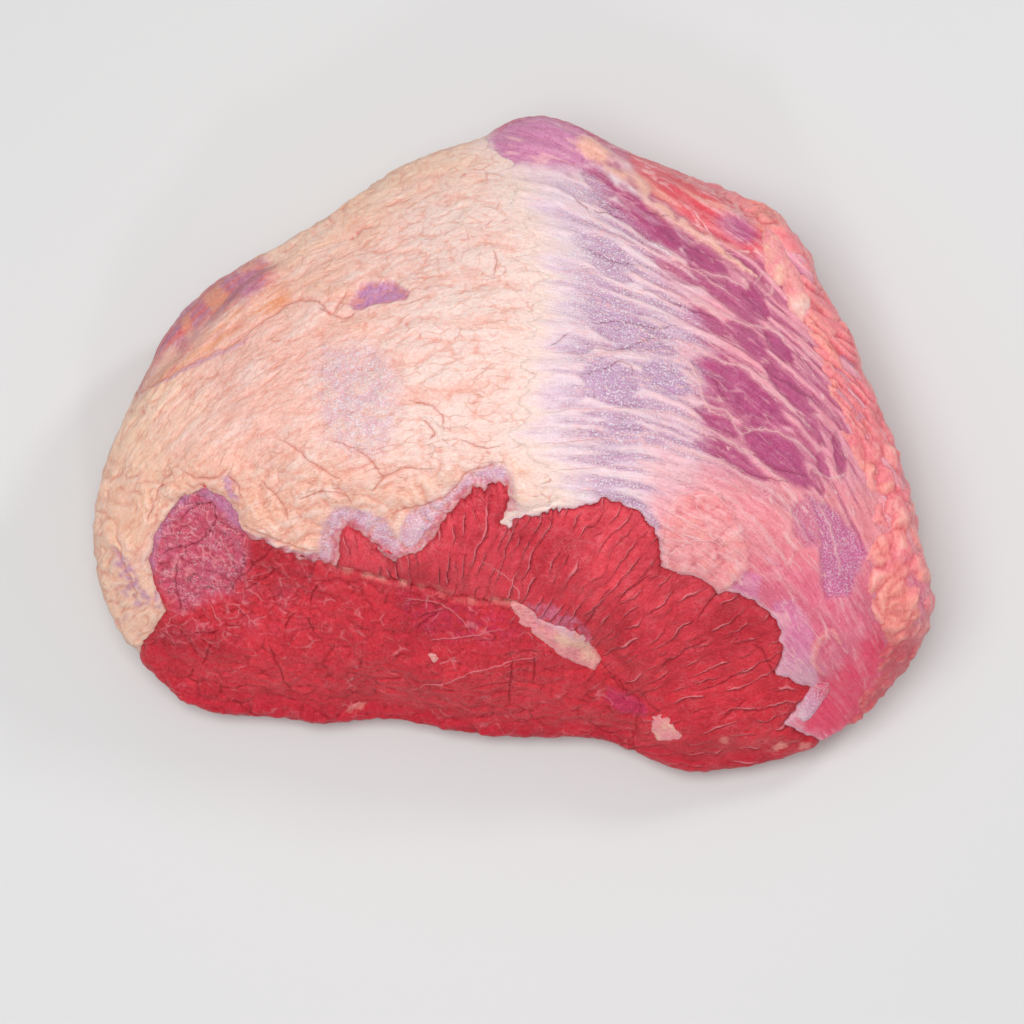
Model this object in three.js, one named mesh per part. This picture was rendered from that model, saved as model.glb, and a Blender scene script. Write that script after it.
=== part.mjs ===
// Raw beef topside: one boneless joint of beef, lying with its fat cover and silverskin uppermost
// and its red cut face sloping down to the front.
// Millimetres. +X is to the right of the cut face, +Y is to the back, +Z is up. The origin is the
// middle of the underside, on the surface that the joint lies on.
import * as THREE from "three";
import { mergeVertices } from "three/addons/utils/BufferGeometryUtils.js";

// Overall form
const CROWN = new THREE.Vector3(1, -3, 96);
const FOOT_INSET_ROUND = 19; // how far the flat underside stops inside the widest line
const FOOT_INSET_CUT = 10;
const ROUND_FULLNESS = 0.92; // 1 is a full round side, 0 a straight slope
const CUT_FULLNESS = 0.34;
const CUT_FROM = 212; // the cut face's first and last directions, in degrees from +X
const CUT_TO = 322;
const CUT_BLEND = 14;
const RIM_SOFTENING = 12; // degrees over which the rim's small notches die out up the sides

// Mesh
const SPLITS = 24; // how finely each edge of the starting icosahedron is split
const SECTION_STEPS = 20; // points along each stretch of a section
const RING_STEPS = 1440; // points kept along a ring
const BASE_DENSITY = 0.12; // how dense the flat underside's mesh is, against the rest
const FLAT_LIMIT = 0.01; // points lower than this belong to the flat underside
const EVENING_ROUNDS = 2; // times that each point moves towards the middle of its neighbours
const EVENING_SHARE = 0.4; // how much of the way it moves

// The widest line, seen from above, with its height over the surface: [x, y, z]
const RIM_LANDMARKS = [
  // the muscle's blunt end at the back
  [-6, 105, 32], [4, 112, 33], [17, 113, 33], [32, 104, 31],
  // back right
  [68, 89, 30], [82, 83, 32], [92, 72, 32],
  // right side
  [104, 49, 33], [122, 10, 33], [132, -22, 32], [141, -54, 27],
  // front right corner
  [138, -66, 24], [119, -92, 18], [97, -105, 14],
  // the lower right lobe, which ends at the cleft
  [60, -111, 14], [47, -109, 14], [39, -101, 12],
  // front edge of the cut face
  [-11, -98, 12], [-49, -92, 12], [-65, -96, 12], [-79, -91, 12], [-104, -92, 14],
  // front left corner
  [-127, -73, 22], [-137, -57, 28],
  // left side
  [-141, -37, 31], [-139, -14, 31], [-126, 18, 28],
  // back left
  [-108, 51, 28], [-74, 69, 31], [-40, 97, 31], [-21, 101, 32],
];

// The line where the top turns down into the sides and the cut face: [x, y, z]
const SHOULDER_LANDMARKS = [
  [105, 2, 66], [88, 40, 64], [64, 63, 64], [34, 83, 62], [10, 92, 63], [-31, 78, 64],
  [-62, 55, 63], [-92, 38, 60], [-116, 4, 61], [-120, -28, 60], [-108, -50, 55], [-68, -50, 66],
  [-29, -50, 77], [3, -42, 87], [35, -44, 85], [67, -60, 70], [95, -80, 49], [112, -62, 56],
  [116, -32, 63],
];

// The torn edge of the fat cover and silverskin over the cut face, from left to right: [x, y]
const COVER_EDGE = [
  [-128, -76], [-115, -62],
  // round the bare muscle at the left
  [-118, -40], [-108, -29], [-100, -27], [-88, -38], [-86, -45],
  // along the front
  [-57, -54], [-38, -54], [-26, -48], [-19, -38], [-7, -30], [-1, -34], [-3, -42], [15, -39],
  [30, -34], [40, -38], [47, -46], [49, -54], [66, -61], [84, -66],
  // the silverskin's flap and its tip on the right
  [86, -84], [99, -88], [95, -97], [107, -106],
];
const COVER_THICKNESS = 2.6;
const COVER_BEVEL = 4.5;

// The fat seam between the two muscles of the cut face, and the cleft that it ends in
const SEAM = [[-57, -55], [-41, -57], [-26, -60], [-14, -63], [-1, -64], [16, -73], [27, -79]];
const CLEFT = [[25, -78], [33, -86], [40, -93], [41, -106]];

const mix = THREE.MathUtils.lerp;
const smooth = THREE.MathUtils.smoothstep;
const FULL_TURN = 2 * Math.PI;
const toRadians = THREE.MathUtils.degToRad;

// The direction of a point from the crown, from 0 to a full turn.
const azimuthOf = (x, y) =>
  THREE.MathUtils.euclideanModulo(Math.atan2(y - CROWN.y, x - CROWN.x), FULL_TURN);

// A closed line round the joint, asked for its reach from the crown and its height in a direction.
class Ring {
  constructor(landmarks) {
    const curve = new THREE.CatmullRomCurve3(
      landmarks.map((point) => new THREE.Vector3(...point)), true, "centripetal");
    const samples = curve.getPoints(RING_STEPS).slice(1).map(({ x, y, z }) => ({
      azimuth: azimuthOf(x, y),
      reach: Math.hypot(x - CROWN.x, y - CROWN.y),
      height: z,
    })).sort((a, b) => a.azimuth - b.azimuth);
    const [first, last] = [samples[0], samples.at(-1)];
    this.samples = [
      { ...last, azimuth: last.azimuth - FULL_TURN }, ...samples,
      { ...first, azimuth: first.azimuth + FULL_TURN },
    ];
  }

  at(angle) {
    const azimuth = THREE.MathUtils.euclideanModulo(angle, FULL_TURN);
    let [low, high] = [0, this.samples.length - 1];
    while (high - low > 1) {
      const middle = (low + high) >> 1;
      if (this.samples[middle].azimuth <= azimuth) low = middle;
      else high = middle;
    }
    const [a, b] = [this.samples[low], this.samples[high]];
    const part = (azimuth - a.azimuth) / (b.azimuth - a.azimuth || 1);
    return { reach: mix(a.reach, b.reach, part), height: mix(a.height, b.height, part) };
  }

  // The reach with its small notches evened out.
  broadReach(azimuth) {
    const offsets = [-1, -0.5, 0, 0.5, 1].map((part) => toRadians(RIM_SOFTENING) * part);
    return offsets.reduce((sum, offset) => sum + this.at(azimuth + offset).reach, 0) / offsets.length;
  }
}

const RIM = new Ring(RIM_LANDMARKS);
const SHOULDER = new Ring(SHOULDER_LANDMARKS);

// How much of the cut face a direction has: 1 in its middle and 0 on the round sides.
function cutShare(azimuth) {
  const [from, to, blend] = [CUT_FROM, CUT_TO, CUT_BLEND].map(toRadians);
  return smooth(azimuth, from - blend, from + blend) * (1 - smooth(azimuth, to - blend, to + blend));
}

// The joint's section from its crown out, over the shoulder and the rim, and in again below:
// points [reach, height, density].
function section(angle) {
  const azimuth = THREE.MathUtils.euclideanModulo(angle, FULL_TURN);
  const shoulder = SHOULDER.at(azimuth);
  const rim = RIM.at(azimuth);
  const cut = cutShare(azimuth);
  const fall = CROWN.z - shoulder.height;
  const run = RIM.broadReach(azimuth) - shoulder.reach;
  const brow = Math.max(shoulder.height - (2 * fall * run) / shoulder.reach, rim.height + 8);
  const fullness = mix(ROUND_FULLNESS, CUT_FULLNESS, cut);
  const side = new THREE.QuadraticBezierCurve(
    new THREE.Vector2(shoulder.reach, shoulder.height),
    new THREE.Vector2(
      shoulder.reach + run * mix(0.5, 1, fullness),
      mix((shoulder.height + rim.height) / 2, brow, fullness)),
    new THREE.Vector2(rim.reach, rim.height));
  const foot = rim.reach - mix(FOOT_INSET_ROUND, FOOT_INSET_CUT, cut);
  const under = new THREE.QuadraticBezierCurve(
    new THREE.Vector2(rim.reach, rim.height),
    new THREE.Vector2(rim.reach - 1, 0),
    new THREE.Vector2(foot, 0));
  const points = [];
  for (let i = 0; i < SECTION_STEPS; i++) {
    const u = i / SECTION_STEPS;
    points.push([shoulder.reach * u, CROWN.z - fall * u * u, 1]);
  }
  side.getPoints(SECTION_STEPS).forEach((p) => points.push([p.x, p.y, 1]));
  under.getPoints(SECTION_STEPS).forEach((p) => points.push([p.x, p.y, 1]));
  for (let i = 1; i <= SECTION_STEPS; i++) {
    points.push([foot * (1 - i / SECTION_STEPS), 0, BASE_DENSITY]);
  }
  return points;
}

// The point of a section that has the given share of the section's area above it.
function slide(points, share) {
  const area = [0];
  for (let i = 1; i < points.length; i++) {
    const [[r0, z0], [r1, z1, density]] = [points[i - 1], points[i]];
    area.push(area[i - 1] + ((r0 + r1) / 2) * Math.hypot(r1 - r0, z1 - z0) * density);
  }
  const wanted = share * area.at(-1);
  const i = Math.max(1, area.findIndex((sum) => sum >= wanted));
  const part = (wanted - area[i - 1]) / (area[i] - area[i - 1] || 1);
  return [mix(points[i - 1][0], points[i][0], part), mix(points[i - 1][1], points[i][1], part)];
}

// A fine ball whose points slide onto the joint's sections, each with its share of the area.
function baseForm() {
  const ball = new THREE.IcosahedronGeometry(1, SPLITS - 1);
  ball.deleteAttribute("normal");
  ball.deleteAttribute("uv");
  const form = mergeVertices(ball, 1e-5);
  const position = form.getAttribute("position");
  for (let i = 0; i < position.count; i++) {
    const direction = new THREE.Vector3().fromBufferAttribute(position, i);
    const azimuth = Math.atan2(direction.y, direction.x);
    const [reach, height] = slide(section(azimuth), (1 - direction.z) / 2);
    position.setXYZ(i, CROWN.x + reach * Math.cos(azimuth), CROWN.y + reach * Math.sin(azimuth), height);
  }
  form.computeVertexNormals();
  return form;
}

// The distance from a point to a line of [x, y] points.
function distanceTo(line, x, y) {
  let nearest = Infinity;
  for (let i = 1; i < line.length; i++) {
    const [[ax, ay], [bx, by]] = [line[i - 1], line[i]];
    const [dx, dy] = [bx - ax, by - ay];
    const part = THREE.MathUtils.clamp(((x - ax) * dx + (y - ay) * dy) / (dx * dx + dy * dy), 0, 1);
    nearest = Math.min(nearest, Math.hypot(x - ax - part * dx, y - ay - part * dy));
  }
  return nearest;
}

// True where the red cut face is bare, in front of the cover's edge.
const BARE = [...COVER_EDGE, [COVER_EDGE.at(-1)[0], -200], [COVER_EDGE[0][0], -200]];
function isBare(x, y) {
  return BARE.reduce((inside, [bx, by], i) => {
    const [ax, ay] = BARE.at(i - 1);
    const crosses = by > y !== ay > y && x < bx + ((ax - bx) * (y - by)) / (ay - by);
    return crosses ? !inside : inside;
  }, false);
}

// Relief shapes. Each gives a function of a place [x, y] that says how far the surface stands out.

// A round-topped swelling with the given half lengths, turned by turn degrees.
function mound([cx, cy], [along, across], turn, height) {
  const [c, s] = [Math.cos(toRadians(turn)), Math.sin(toRadians(turn))];
  return (x, y) => {
    const u = ((x - cx) * c + (y - cy) * s) / along;
    const v = ((y - cy) * c - (x - cx) * s) / across;
    return height * (1 - smooth(Math.hypot(u, v), 0, 1));
  };
}

// A rounded ridge along a line, or a groove where height is negative.
const ridge = (line, halfWidth, height) => (x, y) =>
  height * (1 - smooth(distanceTo(line, x, y), 0, halfWidth));

// The cut face lies lower than the cover by its thickness, with a bevel between them.
function coverStep(x, y) {
  const inwards = distanceTo(COVER_EDGE, x, y) * (isBare(x, y) ? 1 : -1);
  return -COVER_THICKNESS * smooth(inwards, -COVER_BEVEL / 2, COVER_BEVEL / 2);
}

// Lumps of fat along a line: count of them, from side to side of it, of uneven size.
function lumps(line, count, [small, large], height, random) {
  const curve = new THREE.CatmullRomCurve3(line.map(([x, y]) => new THREE.Vector3(x, y, 0)));
  return Array.from({ length: count }, (_, i) => {
    const centre = curve.getPointAt((i + 0.5) / count);
    const size = mix(small, large, random());
    const turn = mix(30, 110, random());
    const place = [centre.x + mix(-3, 3, random()), centre.y + mix(-3, 3, random())];
    return mound(place, [size * 1.3, size * 0.8], turn, height * mix(0.5, 1, random()));
  });
}

// Slow swells all over, from a few crossing waves with drawn directions.
function swells(count, wavelength, height, random) {
  const waves = Array.from({ length: count }, () => {
    const direction = random() * FULL_TURN;
    const rate = FULL_TURN / (wavelength * mix(0.7, 1.4, random()));
    const start = random() * FULL_TURN;
    return (x, y, z) =>
      Math.sin((x * Math.cos(direction) + y * Math.sin(direction)) * rate + z * rate * 0.6 + start);
  });
  return (x, y, z) => (height * waves.reduce((sum, wave) => sum + wave(x, y, z), 0)) / Math.sqrt(count);
}

// Evenly spread numbers from 0 to 1, the same on every run.
function seeded(seed) {
  let state = seed;
  return () => {
    state = (Math.imul(state, 1664525) + 1013904223) >>> 0;
    return state / 2 ** 32;
  };
}

const random = seeded(7);
const RELIEFS = [
  coverStep,
  // the blunt muscle end at the back, and the crease round its front
  mound([11, 99], [26, 17], -5, 5),
  ridge([[-12, 100], [-8, 91], [4, 84], [18, 83], [26, 88]], 5, -2.4),
  // the cord of fat behind the silverskin, and the smooth muscle outside it
  ridge([[24, 97], [31, 86], [42, 70], [51, 55], [64, 48], [78, 43]], 6, 3),
  mound([66, 69], [30, 14], -33, 5),
  // two fingers of fat on the right, and the ropy fat border below them
  mound([88, 58], [12, 7], -50, 4.5),
  mound([95, 44], [15, 7], -72, 5),
  ...lumps([[96, 66], [108, 42], [116, 10], [124, -20], [128, -40]], 11, [8, 12], 3.2, random),
  // the fat lobe low on the right
  mound([129, -56], [13, 22], 10, 6),
  ...lumps([[122, -34], [131, -50], [130, -68]], 6, [7, 10], 3, random),
  // the fold of fat over the small muscle at the back left
  ridge([[-82, 55], [-96, 43], [-112, 30], [-124, 16]], 6, -3),
  mound([-86, 42], [30, 9], 38, 3),
  // the fat's fold beside its bare spot, and the lump at the cover's edge
  mound([-62, 32], [14, 6], 12, 2.6),
  mound([-45, 35], [13, 6], 5, -2),
  mound([6, -32], [13, 9], -25, 3.4),
  // the rolled fat round the bare muscle at the left
  ridge([[-124, -50], [-122, -34], [-112, -23], [-98, -20], [-85, -28], [-80, -40]], 7, 2.4),
  // the cut face: its seam with a strip of fat, the cleft, the lobe beside it, and two slits
  ridge(SEAM, 5, -2.4),
  ridge([[-1, -61], [12, -68], [25, -76]], 5, 3.4),
  ridge(CLEFT, 9, -5),
  mound([72, -97], [34, 13], -3, 4.5),
  mound([22, -57], [34, 15], -12, 3),
  mound([-86, -74], [34, 15], -8, 3),
  mound([-24, -80], [36, 12], -3, 2.6),
  ridge([[82, -66], [85, -75], [86, -81]], 5, -3.4),
  ridge([[-106, -47], [-98, -40]], 5, -2),
  ridge([[-62, -62], [-52, -88]], 6, -1.6),
];
const SWELLS = swells(6, 46, 0.9, random);
const CRAGS = swells(8, 15, 0.5, random);
const RELIEF_FOOT = [3, 16]; // the heights between which the relief dies out towards the underside
const RELIEF_BROW = 0.5; // how much a surface must face up to take the relief in full

// How far the surface stands out from the base form at a place. The widest line has its own
// notches, so the relief dies out where the surface turns down to it.
function reliefAt({ x, y, z }, outward) {
  const shapes = RELIEFS.reduce((sum, shape) => sum + shape(x, y), 0);
  const crags = CRAGS(x, y, z) * (isBare(x, y) ? 1.6 : 1);
  const share = smooth(outward.z, -RELIEF_BROW, RELIEF_BROW) * smooth(z, ...RELIEF_FOOT);
  return (shapes + SWELLS(x, y, z) + crags) * share ** 2;
}

// Moves the points towards the middle of their neighbours, which takes off single spikes. Those of
// the flat underside keep their height.
function evenOut(form) {
  const position = form.getAttribute("position");
  const neighbours = Array.from({ length: position.count }, () => new Set());
  const corners = form.getIndex().array;
  for (let i = 0; i < corners.length; i += 3) {
    const face = corners.slice(i, i + 3);
    face.forEach((a) => face.forEach((b) => a !== b && neighbours[a].add(b)));
  }
  for (let round = 0; round < EVENING_ROUNDS; round++) {
    const places = neighbours.map((_, i) => new THREE.Vector3().fromBufferAttribute(position, i));
    neighbours.forEach((near, i) => {
      const middle = new THREE.Vector3();
      near.forEach((j) => middle.addScaledVector(places[j], 1 / near.size));
      const moved = places[i].clone().lerp(middle, EVENING_SHARE);
      position.setXYZ(i, moved.x, moved.y, places[i].z < FLAT_LIMIT ? places[i].z : moved.z);
    });
  }
}

// The joint's closed surface, centred over the origin.
function topsideForm() {
  const form = baseForm();
  const position = form.getAttribute("position");
  const normal = form.getAttribute("normal");
  for (let i = 0; i < position.count; i++) {
    const place = new THREE.Vector3().fromBufferAttribute(position, i);
    const outward = new THREE.Vector3().fromBufferAttribute(normal, i);
    place.addScaledVector(outward, reliefAt(place, outward));
    position.setXYZ(i, place.x, place.y, Math.max(place.z, 0));
  }
  evenOut(form);
  form.computeBoundingBox();
  const middle = form.boundingBox.getCenter(new THREE.Vector3());
  form.translate(-middle.x, -middle.y, 0);
  form.computeVertexNormals();
  return form;
}

const beef = new THREE.MeshStandardMaterial({ color: 0xc4303c, roughness: 0.45, metalness: 0 });
const topside = new THREE.Mesh(topsideForm(), beef);
topside.name = "topside";

const joint = new THREE.Group();
joint.add(topside);
export default joint;
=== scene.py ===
"""The looks of a raw beef topside: lean meat, its fat cover, its silverskin and the fat on them.

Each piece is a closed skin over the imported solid. A skin's points stand out from the solid's smoothed
surface by a height in millimetres, worked out from what the photograph shows at the pixel that the
point falls on. Where one skin dives under another, the line where they meet is a torn edge.
"""

import itertools
import math

import bmesh
import bpy
import numpy as np
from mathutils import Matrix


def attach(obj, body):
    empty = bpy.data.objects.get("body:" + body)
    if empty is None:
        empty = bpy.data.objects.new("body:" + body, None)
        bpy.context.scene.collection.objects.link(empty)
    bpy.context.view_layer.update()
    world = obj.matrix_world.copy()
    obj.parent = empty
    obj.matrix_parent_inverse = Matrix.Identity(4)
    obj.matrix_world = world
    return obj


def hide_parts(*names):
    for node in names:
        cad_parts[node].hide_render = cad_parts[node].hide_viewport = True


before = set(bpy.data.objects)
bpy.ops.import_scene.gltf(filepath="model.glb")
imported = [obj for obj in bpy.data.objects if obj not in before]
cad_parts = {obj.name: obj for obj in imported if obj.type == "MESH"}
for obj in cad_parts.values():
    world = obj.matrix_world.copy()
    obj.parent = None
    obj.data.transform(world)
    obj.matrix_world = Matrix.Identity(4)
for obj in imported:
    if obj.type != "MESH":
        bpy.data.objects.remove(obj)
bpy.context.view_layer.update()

MM = 0.001

# The photograph's camera, in millimetres and degrees. Pixel coordinates are in the photograph's
# frame, from its top left corner.
PHOTO_SIDE = 1024
LENS = 100
SENSOR = 36
ELEVATION = math.radians(78)
AIM = np.array([0, -24, 20])
DISTANCE = 967
LOOK = np.array([0, math.cos(ELEVATION), -math.sin(ELEVATION)])
PICTURE_UP = np.array([0, math.sin(ELEVATION), math.cos(ELEVATION)])
EYE = AIM - DISTANCE * LOOK
FOCAL_PIXELS = LENS / SENSOR * PHOTO_SIDE
PIXEL = 0.34  # millimetres that a pixel spans at the joint

# Mesh sizes, in millimetres
COARSE = 2.6  # side of a quad of the smoothed surface
SINK = 5  # how far a skin's hidden side lies under its shown one
DIVE = 3.3  # how far a skin goes down outside its outline

NO_LINE = 9.0  # a distance in millimetres at which no drawn line or slit shows
EDGE_ON = 0.05  # a place that faces the camera less than this carries no drawn outline


def to_photo(points):
    """The photograph's pixels that points in millimetres fall on."""
    ray = points - EYE
    depth = ray @ LOOK
    return np.stack([
        PHOTO_SIDE / 2 + FOCAL_PIXELS * ray[:, 0] / depth,
        PHOTO_SIDE / 2 - FOCAL_PIXELS * (ray @ PICTURE_UP) / depth], axis=1)


# Noise

def scramble(cell, salt):
    """A fixed whole number of 32 bits for each whole-numbered cell."""
    mixed = cell @ np.array([73856093, 19349663, 83492791])[:cell.shape[-1]] + salt * 83497
    mixed = mixed & 0xFFFFFFFF
    mixed = ((mixed >> 16) ^ mixed) * 0x45D9F3B & 0xFFFFFFFF
    mixed = ((mixed >> 15) ^ mixed) * 0x2C1B3C6D & 0xFFFFFFFF
    return (mixed >> 16) ^ mixed


def noise(points, size, salt=0):
    """Smooth noise from about -1 to 1, with features of the given size. Points have 2 or 3 numbers."""
    scaled = points / size
    cell = np.floor(scaled).astype(np.int64)
    part = scaled - cell
    fade = part ** 3 * (part * (part * 6 - 15) + 10)
    total = np.zeros(len(points))
    for corner in itertools.product((0, 1), repeat=points.shape[1]):
        drawn = scramble(cell + corner, salt)
        away = part - corner
        slope = 0
        for axis in range(points.shape[1]):
            slope = slope + ((drawn >> 10 * axis & 1023) / 1023 - 0.5) * away[:, axis]
        total += slope * np.prod(np.where(corner, fade, 1 - fade), axis=1)
    return total * 3.2


def fractal(points, size, octaves=3, salt=0):
    """Noise with finer noise on it."""
    return sum(noise(points, size / 2 ** i, salt + i) / 2 ** i for i in range(octaves)) / 1.4


def billows(points, size, octaves=3, salt=0):
    """Rounded lumps with creases between them: 0 in a crease, and about 1 on a lump."""
    return sum(np.abs(noise(points, size / 2 ** i, salt + i)) / 2 ** i for i in range(octaves))


def wander(points, size, reach, salt):
    """A small shift for each point, so that what is drawn with few corners gets a natural edge."""
    shifts = [fractal(points, size, 3, salt + 5 * axis) for axis in range(points.shape[1])]
    return reach * np.stack(shifts, axis=1)


def cells(points, salt=0):
    """Voronoi cells of about one unit across.

    Gives how far each point is from its cell's border, and a number from 0 to 1 drawn for the cell.
    """
    home = np.floor(points).astype(np.int64)
    nearest = np.full(len(points), 9.0)
    second = np.full(len(points), 9.0)
    draw = np.zeros(len(points))
    for step in itertools.product((-1, 0, 1), repeat=points.shape[1]):
        cell = home + step
        drawn = scramble(cell, salt)
        away = 0
        for axis in range(points.shape[1]):
            middle = cell[:, axis] + 0.12 + 0.76 * (drawn >> 10 * axis & 1023) / 1023
            away = away + (middle - points[:, axis]) ** 2
        away = np.sqrt(away)
        closer = away < nearest
        second = np.where(closer, nearest, np.minimum(second, away))
        draw = np.where(closer, (drawn >> 5 & 1023) / 1023, draw)
        nearest = np.where(closer, away, nearest)
    return second - nearest, draw


def ramp(value, low, high):
    """0 up to low, 1 from high, and smooth between."""
    t = np.clip((value - low) / (high - low), 0, 1)
    return t * t * (3 - 2 * t)


def bump(distance, width):
    """1 at no distance, and 0 from width on."""
    return 1 - ramp(np.abs(distance), 0, width)


# Marks drawn in the photograph's pixels

def curve(points, steps=4):
    """A smooth line through a few points."""
    points = np.asarray(points, float)
    if len(points) < 3:
        return points
    ends = np.concatenate([[2 * points[0] - points[1]], points, [2 * points[-1] - points[-2]]])
    t = (np.arange(steps) / steps)[:, None]
    pieces = []
    for a, b, c, d in zip(ends, ends[1:], ends[2:], ends[3:]):
        pieces.append(0.5 * (2 * b + (c - a) * t + (2 * a - 5 * b + 4 * c - d) * t ** 2
                             + (3 * b - a - 3 * c + d) * t ** 3))
    return np.concatenate([*pieces, points[-1:]])


def line_distance(photo, line):
    """Each pixel's distance to a line, in pixels, and how far along the line it is, from 0 to 1."""
    line = np.asarray(line, float)
    nearest = np.full(len(photo), 1e9)
    share = np.zeros(len(photo))
    for i, (a, b) in enumerate(zip(line, line[1:])):
        along = b - a
        part = np.clip(((photo - a) @ along) / max(along @ along, 1e-9), 0, 1)
        distance = ((photo - a - part[:, None] * along) ** 2).sum(1)
        closer = distance < nearest
        nearest = np.where(closer, distance, nearest)
        share = np.where(closer, (i + part) / (len(line) - 1), share)
    return np.sqrt(nearest), share


def inside(photo, outline):
    """True for each pixel that lies inside a closed outline."""
    outline = np.asarray(outline, float)
    x, y = photo.T
    found = np.zeros(len(photo), bool)
    for (ax, ay), (bx, by) in zip(outline, np.roll(outline, -1, axis=0)):
        if ay != by:
            found ^= ((ay > y) != (by > y)) & (x < (bx - ax) * (y - ay) / (by - ay) + ax)
    return found


def rows_near(photo, line, reach):
    """The rows of pixels that lie in a line's box, or within reach of it."""
    line = np.asarray(line, float)
    return np.flatnonzero(((photo > line.min(0) - reach) & (photo < line.max(0) + reach)).all(1))


def stroke(photo, points, width, taper=True):
    """1 on a smooth line and 0 from width pixels away. A tapered stroke narrows towards its ends."""
    found = np.zeros(len(photo))
    rows = rows_near(photo, points, width)
    if len(rows):
        distance, share = line_distance(photo[rows], curve(points))
        narrow = np.sqrt(np.clip(4 * share * (1 - share), 0.04, 1)) if taper else 1
        found[rows] = bump(distance / narrow, width)
    return found


def strokes(photo, lines, width):
    """1 on any of the lines, which may each have a half width of their own as a last number."""
    found = np.zeros(len(photo))
    for line in lines:
        own = line[-1] if np.isscalar(line[-1]) else width
        found = np.maximum(found, stroke(photo, [p for p in line if not np.isscalar(p)], max(own, width)))
    return found


def line_reach(photo, lines):
    """How far each pixel is from the nearest of the lines, in millimetres: below 0 on its left side.

    The distance grows faster near a line's ends, so that what is drawn by it tapers.
    """
    found = np.full(len(photo), 99.0)
    for line in lines:
        points = curve([p for p in line if not np.isscalar(p)])
        rows = rows_near(photo, points, 12)
        if len(rows):
            near = photo[rows]
            distance, share = line_distance(near, points)
            distance = distance / np.sqrt(np.clip(5 * share * (1 - share), 0.1, 1))
            nearest = np.clip((share * (len(points) - 1)).astype(int), 0, len(points) - 2)
            along = (points[1:] - points[:-1])[nearest]
            away = near - points[nearest]
            side = np.sign(along[:, 0] * away[:, 1] - along[:, 1] * away[:, 0])
            taken = distance < np.abs(found[rows])
            found[rows] = np.where(taken, side * distance, found[rows])
    return found * PIXEL


def nearer(first, second):
    """The one of two signed distances that is nearer to 0."""
    return np.where(np.abs(first) < np.abs(second), first, second)


def reach_in(photo, outline):
    """How far each pixel lies inside a closed outline, in pixels: below 0 outside."""
    closed = [*outline, outline[0]]
    return np.where(inside(photo, outline), 1, -1) * line_distance(photo, closed)[0]


def patch(photo, outline, soft=3):
    """1 inside an outline and 0 outside, with an edge that is soft for a few pixels."""
    found = np.zeros(len(photo))
    rows = rows_near(photo, outline, soft)
    if len(rows):
        found[rows] = ramp(reach_in(photo[rows], outline), -soft, soft)
    return found


def blob(photo, x, y, half_length, half_width, turn=0, soft=0.35):
    """1 inside an ellipse and 0 outside, with a soft edge; turn is in degrees, downwards to the right."""
    c, s = math.cos(math.radians(turn)), math.sin(math.radians(turn))
    dx, dy = (photo - (x, y)).T
    reach = np.hypot((dx * c + dy * s) / half_length, (dy * c - dx * s) / half_width)
    return 1 - ramp(reach, 1 - soft, 1 + soft)


def blobs(photo, rows):
    """The strongest of several ellipses, each with a strength as its last number."""
    found = np.zeros(len(photo))
    for *ellipse, strength in rows:
        found = np.maximum(found, strength * blob(photo, *ellipse))
    return found


def fibre_windows(photo, fibre, rows, soft=0.3):
    """The strongest of several windows that follow the fibres and taper towards both ends.

    A window is its middle, its half length and half width in pixels, and a strength.
    """
    found = np.zeros(len(photo))
    for x, y, half_length, half_width, strength in rows:
        near = np.flatnonzero(np.hypot(*(photo - (x, y)).T) < 2 * half_length + 10)
        middle, right, below = along_fibres(np.array([(x, y), (x + 4, y), (x, y + 4)], float))
        spread = math.hypot(right[0] - middle[0], below[0] - middle[0]) / 4
        across, along = (fibre[near] - middle).T
        reach = np.abs(across) / (half_width * spread) + np.abs(along / (half_length * PIXEL)) ** 2.5
        found[near] = np.maximum(found[near], strength * (1 - ramp(reach, 1 - soft, 1 + soft)))
    return found


# Landmarks of the photograph, in pixels

# The torn edge of the fat cover and silverskin above the cut face, from left to right
COVER_EDGE = [
    (120, 664), (137, 655), (140, 643), (150, 635), (164, 615), (161, 604), (152, 585), (148, 560),
    (151, 540), (163, 517), (177, 500), (187, 494), (201, 491), (218, 496), (230, 507), (236, 519),
    (244, 535), (257, 543), (273, 551), (300, 562), (326, 566), (336, 568), (339, 554), (336, 540),
    (346, 529), (358, 533), (373, 547), (383, 560), (393, 568), (401, 560), (427, 548), (437, 533),
    (447, 516), (462, 500), (479, 489), (504, 487), (510, 497), (502, 511), (500, 523), (508, 530),
    (521, 518), (540, 517), (559, 510), (581, 507), (606, 497), (622, 506), (638, 511), (653, 527),
    (660, 539), (662, 568), (697, 577), (720, 594), (728, 590), (756, 602), (771, 614), (781, 635),
    (782, 659), (776, 674), (795, 683), (814, 689), (806, 700), (797, 712), (785, 726), (814, 738),
    (830, 752),
]
BARE = [*COVER_EDGE, (860, 860), (90, 860)]
# Where the fat thins out over the silverskin, from the back to the cover's edge
CREST = [(484, 110), (500, 150), (520, 190), (536, 240), (541, 300), (534, 350), (528, 400),
         (520, 440), (560, 480), (556, 500), (500, 540)]
FAT_SIDE = [*CREST, (300, 900), (-100, 900), (-100, -100), (488, -100)]
SEAM = [(330, 568), (385, 580), (430, 590), (470, 600), (510, 603), (530, 615), (560, 635), (590, 650),
        (605, 668), (625, 690), (640, 700), (632, 745)]
RIGHT_MUSCLE = [*SEAM, (640, 860), (900, 860), (900, 440), (330, 440)]

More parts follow.
